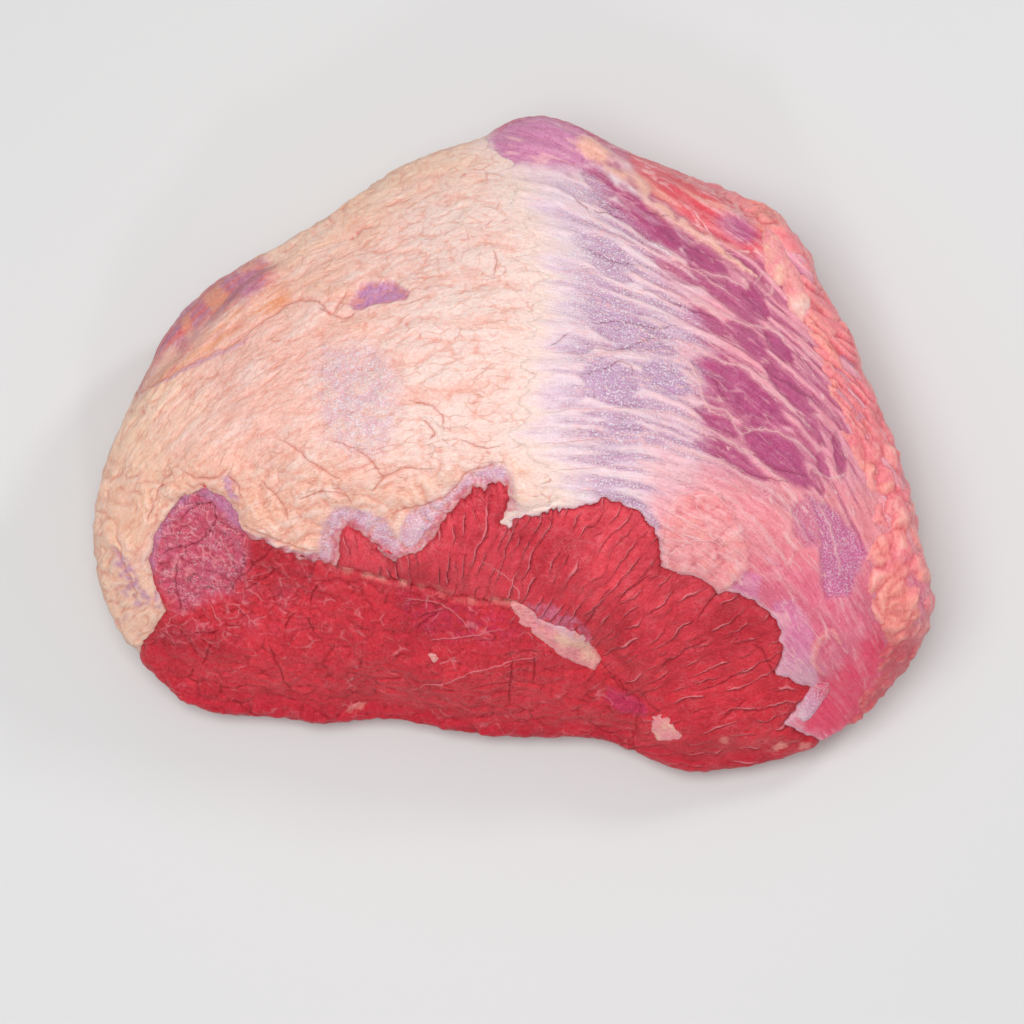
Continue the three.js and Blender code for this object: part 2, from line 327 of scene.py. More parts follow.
# The way that the surface's fibres run: (x, y, degrees downwards to the right)
GRAIN = np.array([
    (110, 500, -60), (150, 400, -50), (200, 350, -40), (250, 300, -33), (350, 230, -30),
    (420, 180, -25), (300, 400, -25), (400, 300, -20), (450, 250, -12), (480, 400, -8),
    (350, 480, -15), (250, 460, -35), (530, 300, 0), (530, 200, 10), (530, 440, -3), (560, 300, 10),
    (560, 420, 2), (620, 260, 25), (620, 340, 12), (620, 440, 2), (650, 230, 34), (700, 280, 30),
    (700, 340, 25), (700, 420, 25), (700, 480, 18), (760, 320, 38), (760, 400, 34), (760, 470, 30),
    (800, 370, 45), (800, 440, 42), (800, 560, 52), (850, 450, 62), (850, 520, 65), (850, 600, 60),
    (750, 560, 40), (680, 540, 25), (880, 560, 72), (590, 185, 30), (650, 180, 35), (720, 230, 30),
    (780, 280, 50)])
GRAIN_START = 530  # the column of pixels that the fibres are followed back to
# The pixel that the right muscle's fibres fan out from, and their usual distance from it
FAN_MIDDLE = np.array([430, 775])
FAN_REACH = 265


def fibre_map(spacing=16, step=4):
    """For a grid of pixels, where its fibre crosses the crest, and how far along the fibre it lies."""
    rows, columns = np.mgrid[0:PHOTO_SIDE + 1:spacing, 0:PHOTO_SIDE + 1:spacing]
    x, y = columns.ravel().astype(float), rows.ravel().astype(float)
    along = np.zeros(len(x))
    side = np.sign(x - GRAIN_START)
    for _ in range(PHOTO_SIDE // 2 // step):
        weight = 1 / (np.hypot(x[:, None] - GRAIN[:, 0], y[:, None] - GRAIN[:, 1]) + 8) ** 3
        slope = np.tan(np.radians((weight * GRAIN[:, 2]).sum(1) / weight.sum(1)))
        move = np.minimum(step, np.abs(x - GRAIN_START))
        x = x - side * move
        y = y - side * move * slope
        along += side * move * np.hypot(1, slope)
    return np.stack([y, along], axis=1).reshape(*rows.shape, 2), spacing


FIBRES = fibre_map()


def along_fibres(photo):
    """Each pixel's place across and along the fibres, in millimetres."""
    grid, spacing = FIBRES
    place = np.clip(photo / spacing, 0, len(grid) - 1.001)
    cell = np.floor(place).astype(int)
    part = place - cell
    total = 0
    for dx, dy in itertools.product((0, 1), repeat=2):
        weight = np.where(dx, part[:, 0], 1 - part[:, 0]) * np.where(dy, part[:, 1], 1 - part[:, 1])
        total = total + weight[:, None] * grid[cell[:, 1] + dy, cell[:, 0] + dx]
    return total * PIXEL


# Marks on the cut face, in pixels
LEAN_SLITS = [
    [(215, 513), (212, 525), (197, 543), (171, 551), (163, 555), 4.5],
    [(180, 519), (195, 507), (212, 506), (215, 514)],
    [(178, 562), (175, 580), (176, 594), (180, 609), 3.5],
    [(230, 592), (236, 582), (257, 562), (269, 553), 3.5],
    [(244, 588), (261, 582), (277, 568), 3],
    [(317, 585), (313, 593), (311, 601), 4.5],
    [(306, 617), (311, 624), (317, 634), 3.5],
    [(285, 629), (288, 620), (294, 612), 2.5],
    [(268, 644), (276, 662), (284, 678), (292, 692), 3],
    [(190, 631), (207, 634), (219, 629), 2.5],
    [(211, 644), (204, 663), 2.5],
    [(418, 626), (427, 619), (437, 613), 3],
    [(234, 700), (243, 707), (252, 713), 6],
    [(504, 655), (520, 652), (540, 650), 4.5],
    [(534, 656), (535, 668), (533, 682), 3],
    [(514, 660), (510, 682), (510, 704), 3],
    [(612, 678), (622, 689), (638, 693), (658, 711), 6],
    [(636, 690), (643, 696), (650, 704), 8],
    [(754, 644), (764, 653), (773, 671), 5],
    [(720, 720), (731, 713), (746, 701), 3.5],
    [(698, 620), (708, 604), (725, 590), 3],
    [(618, 600), (632, 588), (648, 577), 3],
    [(585, 630), (596, 608), (608, 590), 2.5],
    [(700, 690), (722, 684), (748, 668), 3],
    [(660, 668), (680, 655), (706, 640), 2.5],
]
LEAN_STRANDS = [
    [(405, 596), (440, 604), (462, 618), (470, 632)],
    [(430, 640), (470, 636), (510, 628)],
    [(410, 690), (450, 680), (500, 664), (540, 655)],
    [(346, 712), (356, 706), (366, 703), 3],
    [(520, 570), (512, 580), (518, 592), (514, 604), 4],
    [(480, 560), (500, 572), (512, 582), 2.5],
]
POCKET = [(152, 520), (170, 500), (192, 492), (214, 496), (232, 514), (246, 540), (250, 565), (232, 590),
          (205, 606), (176, 610), (160, 590), (150, 560)]
POCKET_RIM = [(152, 575), (150, 550), (156, 528), (168, 508), (186, 496), (204, 493), (222, 502),
              (236, 522), (246, 538)]
SEAM_FAT = [(511, 604), (524, 606), (541, 620), (567, 628), (584, 636), (594, 647), (601, 660), (594, 670),
            (578, 664), (556, 652), (540, 638), (518, 622)]
SCRAPS = [
    [(652, 717), (663, 713), (672, 722), (682, 736), (677, 742), (666, 739), (658, 740), (650, 728)],
    [(429, 655), (436, 653), (440, 659), (433, 663)],
]
CRUMBS = [(356, 708, 11, 3, -25, 0.8), (724, 740, 6, 4, 20, 0.7), (781, 746, 8, 3, -15, 1),
          (805, 746, 6, 3, -10, 0.8)]
SEAM_LILAC = [(526, 604), (550, 604), (572, 614), (590, 632), (592, 646), (566, 634), (544, 622)]
SEAM_PINK = [(398, 588), (440, 604), (505, 612), (520, 632), (500, 646), (440, 640), (404, 618)]
CLEFT_MUSCLE = [(608, 688), (626, 692), (648, 706), (646, 716), (622, 712), (606, 700)]

# Marks on the fat cover, in pixels
FAT_SLITS = [
    [(495, 250), (496, 262), (494, 274), 2.5],
    [(347, 293), (338, 305), (330, 313), (318, 308), 4.5],
    [(330, 313), (316, 300), (300, 300), (280, 304), 4],
    [(332, 314), (345, 318), (356, 312), 3],
    [(146, 524), (152, 505), (159, 487), (178, 465), 4.5],
    [(138, 395), (160, 380), (188, 364), (214, 351), (239, 338), (262, 320), (284, 306), 4],
    [(357, 236), (362, 228), (372, 225), 4],
    [(380, 207), (396, 201), (412, 196), 3],
    [(412, 401), (427, 404), (441, 414), (444, 428), 3],
    [(424, 420), (434, 432), (428, 440), 2.5],
    [(516, 446), (526, 438), (536, 424), 4],
    [(228, 476), (236, 484), (240, 498), 4],
    [(390, 521), (400, 510), (425, 506), (452, 492), (468, 472), (500, 462), 3.5],
    [(243, 527), (262, 535), (290, 546), (320, 552), 3],
    [(180, 470), (195, 478), (214, 478), (226, 470), 3],
    [(113, 545), (120, 560), (128, 580), (137, 597), 4],
    [(282, 440), (300, 452), (322, 470), (340, 480), 2.5],
    [(260, 480), (280, 500), (290, 520), 2.5],
    [(330, 440), (352, 447), (372, 462), (385, 480), 2.5],
    [(372, 492), (384, 478), (404, 470), (430, 470), 2.5],
    [(300, 500), (318, 492), (340, 494), (352, 504), 2.5],
    [(460, 440), (480, 447), (500, 446), 2.5],
]
LILAC_GAP = [(349, 303), (361, 283), (387, 279), (409, 291), (406, 298), (374, 304), (355, 309)]
SIDE_MUSCLE = [(262, 258), (213, 275), (190, 300), (150, 344), (125, 395), (140, 392), (152, 369),
               (170, 352), (205, 325), (235, 306), (251, 297), (266, 288), (274, 272)]
STREAK_BAND = [(138, 398), (150, 378), (178, 355), (214, 328), (250, 302), (284, 284), (292, 300), (262, 318),
               (230, 338), (190, 362), (160, 384)]
LILAC_STRIP = [(150, 388), (189, 367), (229, 348), (248, 336)]
RED_DOTS = [(494, 171), (496, 180), (495, 202), (464, 175), (406, 323), (358, 232), (352, 238), (144, 412),
            (394, 362), (328, 311), (366, 324)]
STIPPLED_FAT = [(318, 352), (345, 344), (380, 350), (398, 380), (396, 420), (384, 450), (350, 456),
                (326, 430), (315, 390)]
LILAC_FRONT = [(126, 575, 8, 28, -25, 1), (145, 598, 26, 9, 15, 0.8), (230, 488, 7, 15, -15, 1)]
# The lilac membranes on the torn edge
EDGE_MEMBRANES = [
    [(242, 536), (262, 540), (290, 552), (322, 556), (334, 562), (334, 576), (300, 570), (262, 556),
     (244, 548)],
    [(318, 560), (320, 535), (326, 514), (340, 508), (362, 511), (380, 519), (396, 534), (404, 556),
     (400, 572), (386, 572), (370, 556), (350, 540), (342, 552), (342, 572)],
    [(392, 572), (396, 548), (403, 522), (416, 507), (440, 500), (455, 486), (474, 470), (494, 463),
     (509, 472), (514, 492), (500, 496), (478, 496), (452, 520), (440, 546), (415, 562)],
    [(498, 534), (498, 512), (508, 498), (520, 510), (550, 503), (566, 500), (566, 512), (522, 528),
     (510, 538)],
]
FAT_LUMPS = [(534, 490, 28, 20, 20, 1.0), (520, 462, 22, 16, 70, 0.6), (300, 286, 38, 10, -14, 0.5),
             (250, 303, 24, 8, -30, 0.5), (330, 290, 22, 8, -5, 0.8), (358, 326, 14, 9, 0, 0.5),
             (395, 283, 20, 5, 8, 0.4), (188, 470, 34, 13, -50, 0.6), (262, 512, 26, 18, 40, 0.5),
             (128, 520, 24, 40, 15, 0.5), (420, 490, 40, 10, -25, 0.5), (372, 236, 14, 8, -30, 0.6)]

# Where the muscle under the silverskin turns from lilac to magenta, from the back to the front
DEEP_SIDE = [(572, 130), (586, 170), (606, 200), (640, 238), (672, 282), (700, 330), (698, 440), (744, 520),
             (790, 560), (830, 640), (900, 640), (990, 400), (800, 100)]
# Marks on the silverskin, in pixels. A window has how much muscle shows through it as its last number.
DEEP_WINDOWS = [
    (600, 182, 23, 11, 0.85), (624, 196, 12, 10, 0.6), (622, 214, 18, 8, 0.7),
    (634, 203, 24, 9, 0.85), (652, 214, 20, 7, 0.8), (642, 226, 22, 9, 0.85), (668, 236, 18, 9, 1),
    (708, 262, 30, 9, 1),
    (690, 250, 14, 6, 0.8), (728, 289, 48, 13, 0.85), (758, 302, 16, 10, 1),
    (676, 272, 26, 7, 0.55), (711, 321, 24, 7, 0.8), (748, 339, 28, 9, 0.9),
    (780, 346, 20, 9, 1), (742, 389, 58, 20, 1), (790, 388, 36, 9, 0.9),
    (720, 421, 27, 9, 0.85), (779, 454, 48, 17, 0.95), (824, 467, 12, 8, 0.75),
    (840, 455, 15, 9, 0.75), (812, 428, 24, 7, 0.6), (818, 483, 13, 6, 0.7),
]
LILAC_WINDOWS = [
    (602, 248, 34, 12, 0.8), (613, 271, 24, 7, 0.7), (604, 301, 44, 7, 0.7),
    (612, 318, 66, 10, 0.85), (636, 337, 46, 11, 0.9), (571, 342, 24, 9, 0.8),
    (610, 381, 31, 20, 1), (667, 378, 27, 14, 1), (617, 398, 30, 8, 0.8),
    (562, 392, 27, 13, 0.6), (624, 425, 27, 6, 0.8), (734, 459, 42, 9, 0.8),
    (632, 515, 32, 12, 0.8), (612, 462, 44, 7, 0.4), (560, 216, 36, 10, 0.5),
]
PLATE_LINES = [
    [(663, 541), (668, 515), (676, 498), (690, 492), (704, 492), (717, 496), (730, 512), (746, 544)],
    [(690, 494), (700, 512), (716, 534), (742, 556)], [(664, 566), (676, 548), (700, 540), (724, 546)],
]
LENS_WINDOWS = [
    [(805, 495), (824, 503), (841, 514), (858, 537), (867, 554), (862, 568), (850, 594), (827, 598),
     (822, 583), (820, 545), (816, 518)],
    [(792, 505), (806, 500), (818, 512), (820, 545), (806, 548), (794, 530)],
]
SILVER_SLITS = [
    [(573, 195), (580, 204), (588, 211)], [(595, 196), (606, 204), (624, 206), 2.5],
    [(595, 210), (608, 213), (623, 217), 2.5], [(648, 210), (668, 218)],
    [(583, 245), (605, 256), (620, 261), (638, 265), 2.5], [(653, 243), (666, 249), (678, 257), 2.5],
    [(644, 289), (664, 299), (688, 308), (717, 314), 3],
    [(595, 321), (623, 320), (656, 326), (674, 325), 2.5], [(552, 343), (568, 334), 2.5],
    [(591, 349), (618, 349), (646, 339), (668, 336), 3],
    [(585, 373), (608, 367), (620, 361), (631, 366), (634, 376), 3],
    [(746, 470), (768, 478), (790, 482), 3], [(762, 462), (784, 470), (804, 476), 2.5],
    [(782, 276), (786, 292), (796, 306), 4],
    [(772, 372), (790, 384), (814, 398), 2], [(700, 366), (716, 380), (726, 398), 2],
]
SILVER_STRANDS = [
    [(623, 270), (649, 283), (679, 296), (712, 311), (732, 317), 3],
    [(653, 337), (674, 339), (702, 352), (730, 364), 4],
    [(690, 296), (717, 311), (749, 325), (776, 332), (797, 354), 2.5],
    [(690, 350), (713, 357), (742, 366), (756, 379), (774, 393), (797, 413), (813, 429), 3],
    [(686, 369), (701, 387), (707, 405), (730, 420), 3],
    [(756, 284), (762, 272), (770, 279), (773, 291), (765, 294), 2.5],
    [(704, 407), (726, 411), (738, 429), (744, 434), (761, 425), 3],
    [(640, 352), (668, 350), (690, 362), (700, 384), 3],
    [(560, 352), (590, 356), (625, 352), (650, 346), 3],
    [(552, 412), (590, 410), (640, 410), (690, 420), (740, 448), (790, 486), 4],
    [(545, 444), (600, 440), (660, 446), (720, 462), (780, 500), (810, 540), 5],
    [(565, 470), (620, 466), (670, 474), (720, 494), (764, 530), (790, 570), 4],
    [(700, 268), (724, 276), (752, 290), 2.5],
    [(600, 228), (630, 244), (664, 256), (700, 272), (740, 300), 3],
    [(742, 428), (770, 430), (800, 444), (818, 462), 2.5],
    [(816, 500), (828, 520), (836, 545), (842, 575), 2.5],
    [(812, 470), (832, 478), (848, 470), 3],
]
CORD = [(588, 145), (606, 165), (616, 172), (636, 182), (653, 202), (671, 217), (696, 232), (714, 244),
        (732, 260), (756, 276)]
# The fingers of fat where the cord ends
FINGER_OUTLINES = [
    [(763, 232), (770, 226), (778, 236), (786, 250), (794, 266), (790, 284), (778, 286), (768, 276),
     (762, 258)],
    [(784, 266), (794, 264), (804, 280), (811, 296), (812, 312), (803, 322), (791, 312), (783, 290)],
]
FACET = [(630, 150), (668, 158), (700, 178), (748, 196), (776, 225), (770, 262), (734, 248), (694, 224),
         (656, 196), (634, 176)]
KNOB = [(484, 140), (494, 120), (525, 108), (570, 112), (606, 134), (604, 160), (580, 170), (540, 168),
        (500, 164)]
# The border of curdled fat down the right side
BORDER = [(636, 150), (690, 178), (744, 209), (778, 240), (800, 270), (800, 300), (806, 330), (822, 362),
          (834, 400), (842, 430), (850, 456), (858, 480), (868, 505), (872, 540), (864, 575), (866, 600),
          (876, 622), (882, 645), (872, 676), (860, 700), (848, 728), (900, 760), (990, 640), (980, 480),
          (900, 300), (820, 170), (760, 130), (636, 90)]
BORDER_LOBES = [
    (894, 608, 16, 36, -4, 1), (880, 551, 10, 15, 0, 0.8), (866, 468, 9, 7, 0, 0.8), (887, 488, 8, 6, 0, 0.8),
    (829, 387, 8, 8, 0, 0.7), (912, 608, 9, 14, 0, 0.8), (923, 576, 7, 8, 0, 0.8), (822, 342, 28, 6, 52, 0.7),
    (900, 530, 9, 20, 10, 0.6), (860, 703, 7, 6, 0, 0.8), (766, 216, 24, 9, 40, 0.7),
    (898, 570, 9, 10, 0, 0.6),
]
# The flat cut sheet of silverskin above the right muscle, and the flaps beside it
PLATE = [(662, 541), (659, 533), (674, 497), (705, 492), (718, 495), (736, 522), (747, 545), (747, 568),
         (719, 594), (705, 581), (697, 577), (680, 572), (663, 568)]
FLAPS = [
    [(772, 614), (774, 602), (791, 600), (806, 614), (816, 637), (812, 646), (816, 671), (818, 688),
     (801, 684), (776, 674), (783, 659), (783, 644)],
    [(728, 592), (743, 570), (762, 577), (757, 603), (742, 597)],
    [(797, 717), (805, 698), (818, 682), (829, 684), (828, 694), (812, 717), (803, 722)],
]
RING_FOLD = [(842, 644), (834, 634), (822, 638), (814, 650), (815, 664), (824, 676)]
CRIMSON = [(818, 690), (850, 655), (883, 621), (892, 655), (870, 704), (850, 734), (806, 734), (806, 716)]


# Colours, as the photograph shows them

def tone(code):
    """A colour given as six hexadecimal digits, as linear red, green and blue."""
    parts = np.array([int(code[i:i + 2], 16) / 255 for i in (0, 2, 4)])
    return np.where(parts <= 0.04045, parts / 12.92, ((parts + 0.055) / 1.055) ** 2.4)


def lay(under, over, share):
    """One colour over another where share is 1."""
    return under + (over - under) * np.clip(share, 0, 1)[:, None]


def painted(colours, *layers):
    """Colours with others laid over them in turn, each given with its share."""
    for over, share in layers:
        colours = lay(colours, over, share)
    return colours


def mottle(colours, field, amount):
    """Colours made lighter and darker by a field that runs from about -1 to 1."""
    return np.clip(colours * (1 + amount * field)[:, None], 0, 1)


# Skins

def numbers(collection, key, width=1):
    """One property of every item of a Blender collection, as an array."""
    found = np.zeros(len(collection) * width)
    collection.foreach_get(key, found)
    return found.reshape(-1, width) if width > 1 else found


class Place:
    """Points of a skin in millimetres, the way they face, and where they are in the photograph."""

    def __init__(self, points, facing):
        self.points = points
        self.photo = to_photo(points)
        self.bent = self.photo + wander(self.photo, 16, 3, 500)
        self.height = points[:, 2]
        # how much a point faces the camera
        self.seen = -(facing @ LOOK)
        # marks are laid out by height as well on the sides, which the photograph hardly shows
        side = self.height * ramp(self.seen, 0.4, 0)
        self.loose = self.bent + np.outer(side, (0.3, 1)) / PIXEL
        self.fibre = along_fibres(self.photo) + np.outer(side, (1, 0.4))
        # how far a place lies inside the cover, in millimetres: below 0 on the bare cut face
        teeth = 6 * noise(self.photo / (4.5, 16), 1, 41) * bump(self.photo[:, 0] - 500, 130)
        torn = self.photo + wander(self.photo, 14, 4, 11) + teeth[:, None] * (0.3, 1)
        self.cover = np.where(inside(torn, BARE), -1, 1) * line_distance(torn, COVER_EDGE)[0] * PIXEL
        # how far it lies on the fat's side of the crest
        streaks = noise(self.fibre / (6, 60), 1, 31) * 22 + noise(self.fibre / (2, 30), 1, 32) * 9
        spread = self.photo + np.stack([streaks, streaks * 0], axis=1)
        self.fat = np.where(inside(spread, FAT_SIDE), 1, -1) * line_distance(spread, CREST)[0] * PIXEL
        # how far it lies above the covers' lower hem
        self.hem = self.height - 9 - 4 * fractal(points, 30, 3, 45) - 9 * ramp(points[:, 0], 60, 120)


def shoulder(photo):
    """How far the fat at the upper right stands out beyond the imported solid, in millimetres."""
    return 3.6 * blob(photo, 784, 246, 44, 22, 58, 0.6)


def smoothed_solid():
    """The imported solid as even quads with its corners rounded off."""
    solid = bpy.data.objects.new("solid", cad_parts["topside"].data.copy())
    bpy.context.scene.collection.objects.link(solid)
    solid.modifiers.new("weld", "WELD").merge_threshold = 0.01 * MM
    remesh = solid.modifiers.new("remesh", "REMESH")
    remesh.mode = "VOXEL"
    remesh.voxel_size = COARSE * MM
    even = solid.modifiers.new("even", "SMOOTH")
    even.factor = 0.5
    even.iterations = 3
    mesh = bpy.data.meshes.new_from_object(solid.evaluated_get(bpy.context.evaluated_depsgraph_get()))
    bpy.data.objects.remove(solid)
    points = numbers(mesh.vertices, "co", 3) / MM
    points += numbers(mesh.vertex_normals, "vector", 3) * shoulder(to_photo(points))[:, None]
    mesh.vertices.foreach_set("co", (points * MM).ravel())
    mesh.update()
    return mesh


SOLID = smoothed_solid()
SOLID_EDGES = numbers(SOLID.edges, "vertices", 2).astype(int)
SOLID_PLACE = Place(numbers(SOLID.vertices, "co", 3) / MM, numbers(SOLID.vertex_normals, "vector", 3))


def grown(mask, rings):
    """A mask over the solid's points that reaches out by some rings of quads."""
    for _ in range(rings):
        wider = mask.copy()
        np.logical_or.at(wider, SOLID_EDGES[:, 0], mask[SOLID_EDGES[:, 1]])
        np.logical_or.at(wider, SOLID_EDGES[:, 1], mask[SOLID_EDGES[:, 0]])
        mask = wider
    return mask


def quads_over_solid(name, keep, cut, fine, cuts, closed):
    """The solid's quads where keep is true, with a hidden side under them.

    Each is halved where cut is true, and has more cuts where fine is true as well.
    """
    shape = bmesh.new()
    shape.from_mesh(SOLID)
    shown = shape.verts.layers.float.new("shown")
    level = shape.faces.layers.int.new("level")
    for vertex in shape.verts:
        vertex[shown] = 1
    lost = []
    for face in shape.faces:
        corners = [v.index for v in face.verts]
        face[level] = int(cut[corners].any()) + int((cut & fine)[corners].any())
        if not keep[corners].all():
            lost.append(face)
    if not closed:
        bmesh.ops.delete(shape, geom=lost, context="FACES")
    outer = list(shape.faces)
    fine_edges = {e for f in outer if f[level] == 2 for e in f.edges}
    halved_edges = {e for f in outer if f[level] == 1 for e in f.edges} - fine_edges
    if not closed:
        rim_loops = [edge.link_loops[0] for edge in shape.edges if edge.is_boundary]
        rim = [(loop.vert, loop.link_loop_next.vert) for loop in rim_loops]
        twins = {}
        for vertex in list(shape.verts):
            twins[vertex] = shape.verts.new(vertex.co - vertex.normal * SINK * MM)
            twins[vertex][shown] = 0
        for face in outer:
            shape.faces.new([twins[v] for v in reversed(face.verts)])
        for start, end in rim:
            shape.faces.new([end, start, twins[start], twins[end]])
    bmesh.ops.subdivide_edges(shape, edges=list(halved_edges), cuts=1, use_grid_fill=True)
    bmesh.ops.subdivide_edges(shape, edges=list(fine_edges), cuts=cuts, use_grid_fill=True)
    mesh = bpy.data.meshes.new(name)
    shape.to_mesh(mesh)
    shape.free()
    return mesh


def smooth(mesh, weight, rounds):
    """Rounds a mesh off where weight is 1."""
    points = numbers(mesh.vertices, "co", 3)
    ends = numbers(mesh.edges, "vertices", 2).astype(int)
    ties = np.bincount(ends.ravel(), minlength=len(points))
    for _ in range(rounds):
        near = np.stack([
            np.bincount(ends[:, 0], points[ends[:, 1], axis], len(points))
            + np.bincount(ends[:, 1], points[ends[:, 0], axis], len(points)) for axis in range(3)], axis=1)
        points += (weight * 0.5)[:, None] * (near / ties[:, None] - points)
    mesh.vertices.foreach_set("co", points.ravel())
    mesh.update()
    return points / MM


def add_attribute(mesh, key, values):
    """Keeps a number, a direction or a colour for each vertex."""
    if key == "tone":
        kind, socket = "FLOAT_COLOR", "color"
        values = np.concatenate([values, np.ones((len(values), 1))], axis=1)
    elif values.ndim > 1:
        kind, socket = "FLOAT_VECTOR", "vector"
    else:
        kind, socket = "FLOAT", "value"
    mesh.attributes.new(key, kind, "POINT").data.foreach_set(socket, values.astype(np.float32).ravel())


def plain(place, colours, relief, gloss, glint_stipple, grain):
    """The attributes of a skin that has no web, no drawn lines and no slits."""
    none = np.zeros(len(colours))
    # relief holds the tones of painted shade in hollows and of a painted highlight on rises, and how strongly
    # they are laid
    return {
        "tone": colours, "relief": relief, "gloss": none + gloss, "glint_stipple": none + glint_stipple,
        "grain": grain, "web": none, "web_place": place.points,
        "line": none + NO_LINE, "slit": none + NO_LINE}


def skin(name, reach, dress, material, fine=lambda at: at.seen > 0.35, cut=lambda at: at.height > 1,
         cuts=3, closed=False):
    """A piece over the part of the solid where reach, in millimetres, is above 0.

    dress gives a place's height over the smoothed solid and its attributes, and cut and fine say where
    the quads are cut.
    """
    covered = grown(reach(SOLID_PLACE) > 0, 2)
    mesh = quads_over_solid(
        name, grown(covered, 1), cut(SOLID_PLACE) & covered, fine(SOLID_PLACE) & covered, cuts, closed)
    piece = bpy.data.objects.new(name, mesh)
    bpy.context.scene.collection.objects.link(piece)
    weight = numbers(mesh.attributes["shown"].data, "value")
    mesh.attributes.remove(mesh.attributes["shown"])
    points = smooth(mesh, weight, cuts ** 2)
    facing = numbers(mesh.vertex_normals, "vector", 3)
    place = Place(points, facing)
    inward = reach(place)
    height, attributes = dress(place, inward)
    height = averaged(mesh, height, 1)
    if not closed:
        height = np.maximum(height - DIVE * ramp(-inward, 0, 1.1), -DIVE)
    moved = points + facing * (height * weight)[:, None]
    moved[:, 2] = np.maximum(moved[:, 2], 0)
    mesh.vertices.foreach_set("co", (moved * MM).ravel())
    mesh.update()
    # how far each point lies under the points around it. The colour is darkened there as painted shade, and
    # lightened on points that stand out as a painted highlight.
    sunk = averaged(mesh, averaged(mesh, height, 5) - height, 1)
    shade, painted_highlight, strength = attributes.pop("relief")
    attributes["tone"] = lay(attributes["tone"], shade, strength * np.clip(sunk / 0.18, 0, 1))
    attributes["tone"] = lay(attributes["tone"], painted_highlight, 0.5 * strength * np.clip(-sunk / 0.15, 0, 1))
    for key, values in attributes.items():
        add_attribute(mesh, key, values)
    mesh.shade_smooth()
    mesh.materials.append(material)
    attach(piece, "root")
    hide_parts("topside")
    return piece


def averaged(mesh, values, rounds):
    """A number of each point, brought halfway to the mean of the points around it, some times over."""
    ends = numbers(mesh.edges, "vertices", 2).astype(int)
    ties = np.bincount(ends.ravel(), minlength=len(values))
    for _ in range(rounds):
        near = (np.bincount(ends[:, 0], values[ends[:, 1]], len(values))
                + np.bincount(ends[:, 1], values[ends[:, 0]], len(values)))
        values = 0.5 * values + 0.5 * near / ties
    return values


def lip(inward, width):
    """The rounding of a torn edge: -1 on the edge, and 0 from width on."""
    return -(1 - ramp(inward, 0, width))


# The lean

LEAN_RED = tone("d0323f")
LEAN_DEEP = tone("b42433")
LEAN_PAINTED_SHADE = tone("6e101c")
LEAN_SLIT_SHADE = tone("941c2a")
LEAN_UPPER = tone("dc4451")
LEAN_PALE = tone("e07a82")
LEAN_PAINTED_HIGHLIGHT = tone("dc5560")
LEAN_SIDE = tone("bd1830")
POCKET_PINK = tone("cc5c78")
SEAM_ORANGE = tone("ea8f86")
LILAC = tone("c086ae")
PALE_LILAC = tone("dfb0c2")
SEAM_MAUVE = tone("cc6c88")
MAGENTA = tone("c2305a")


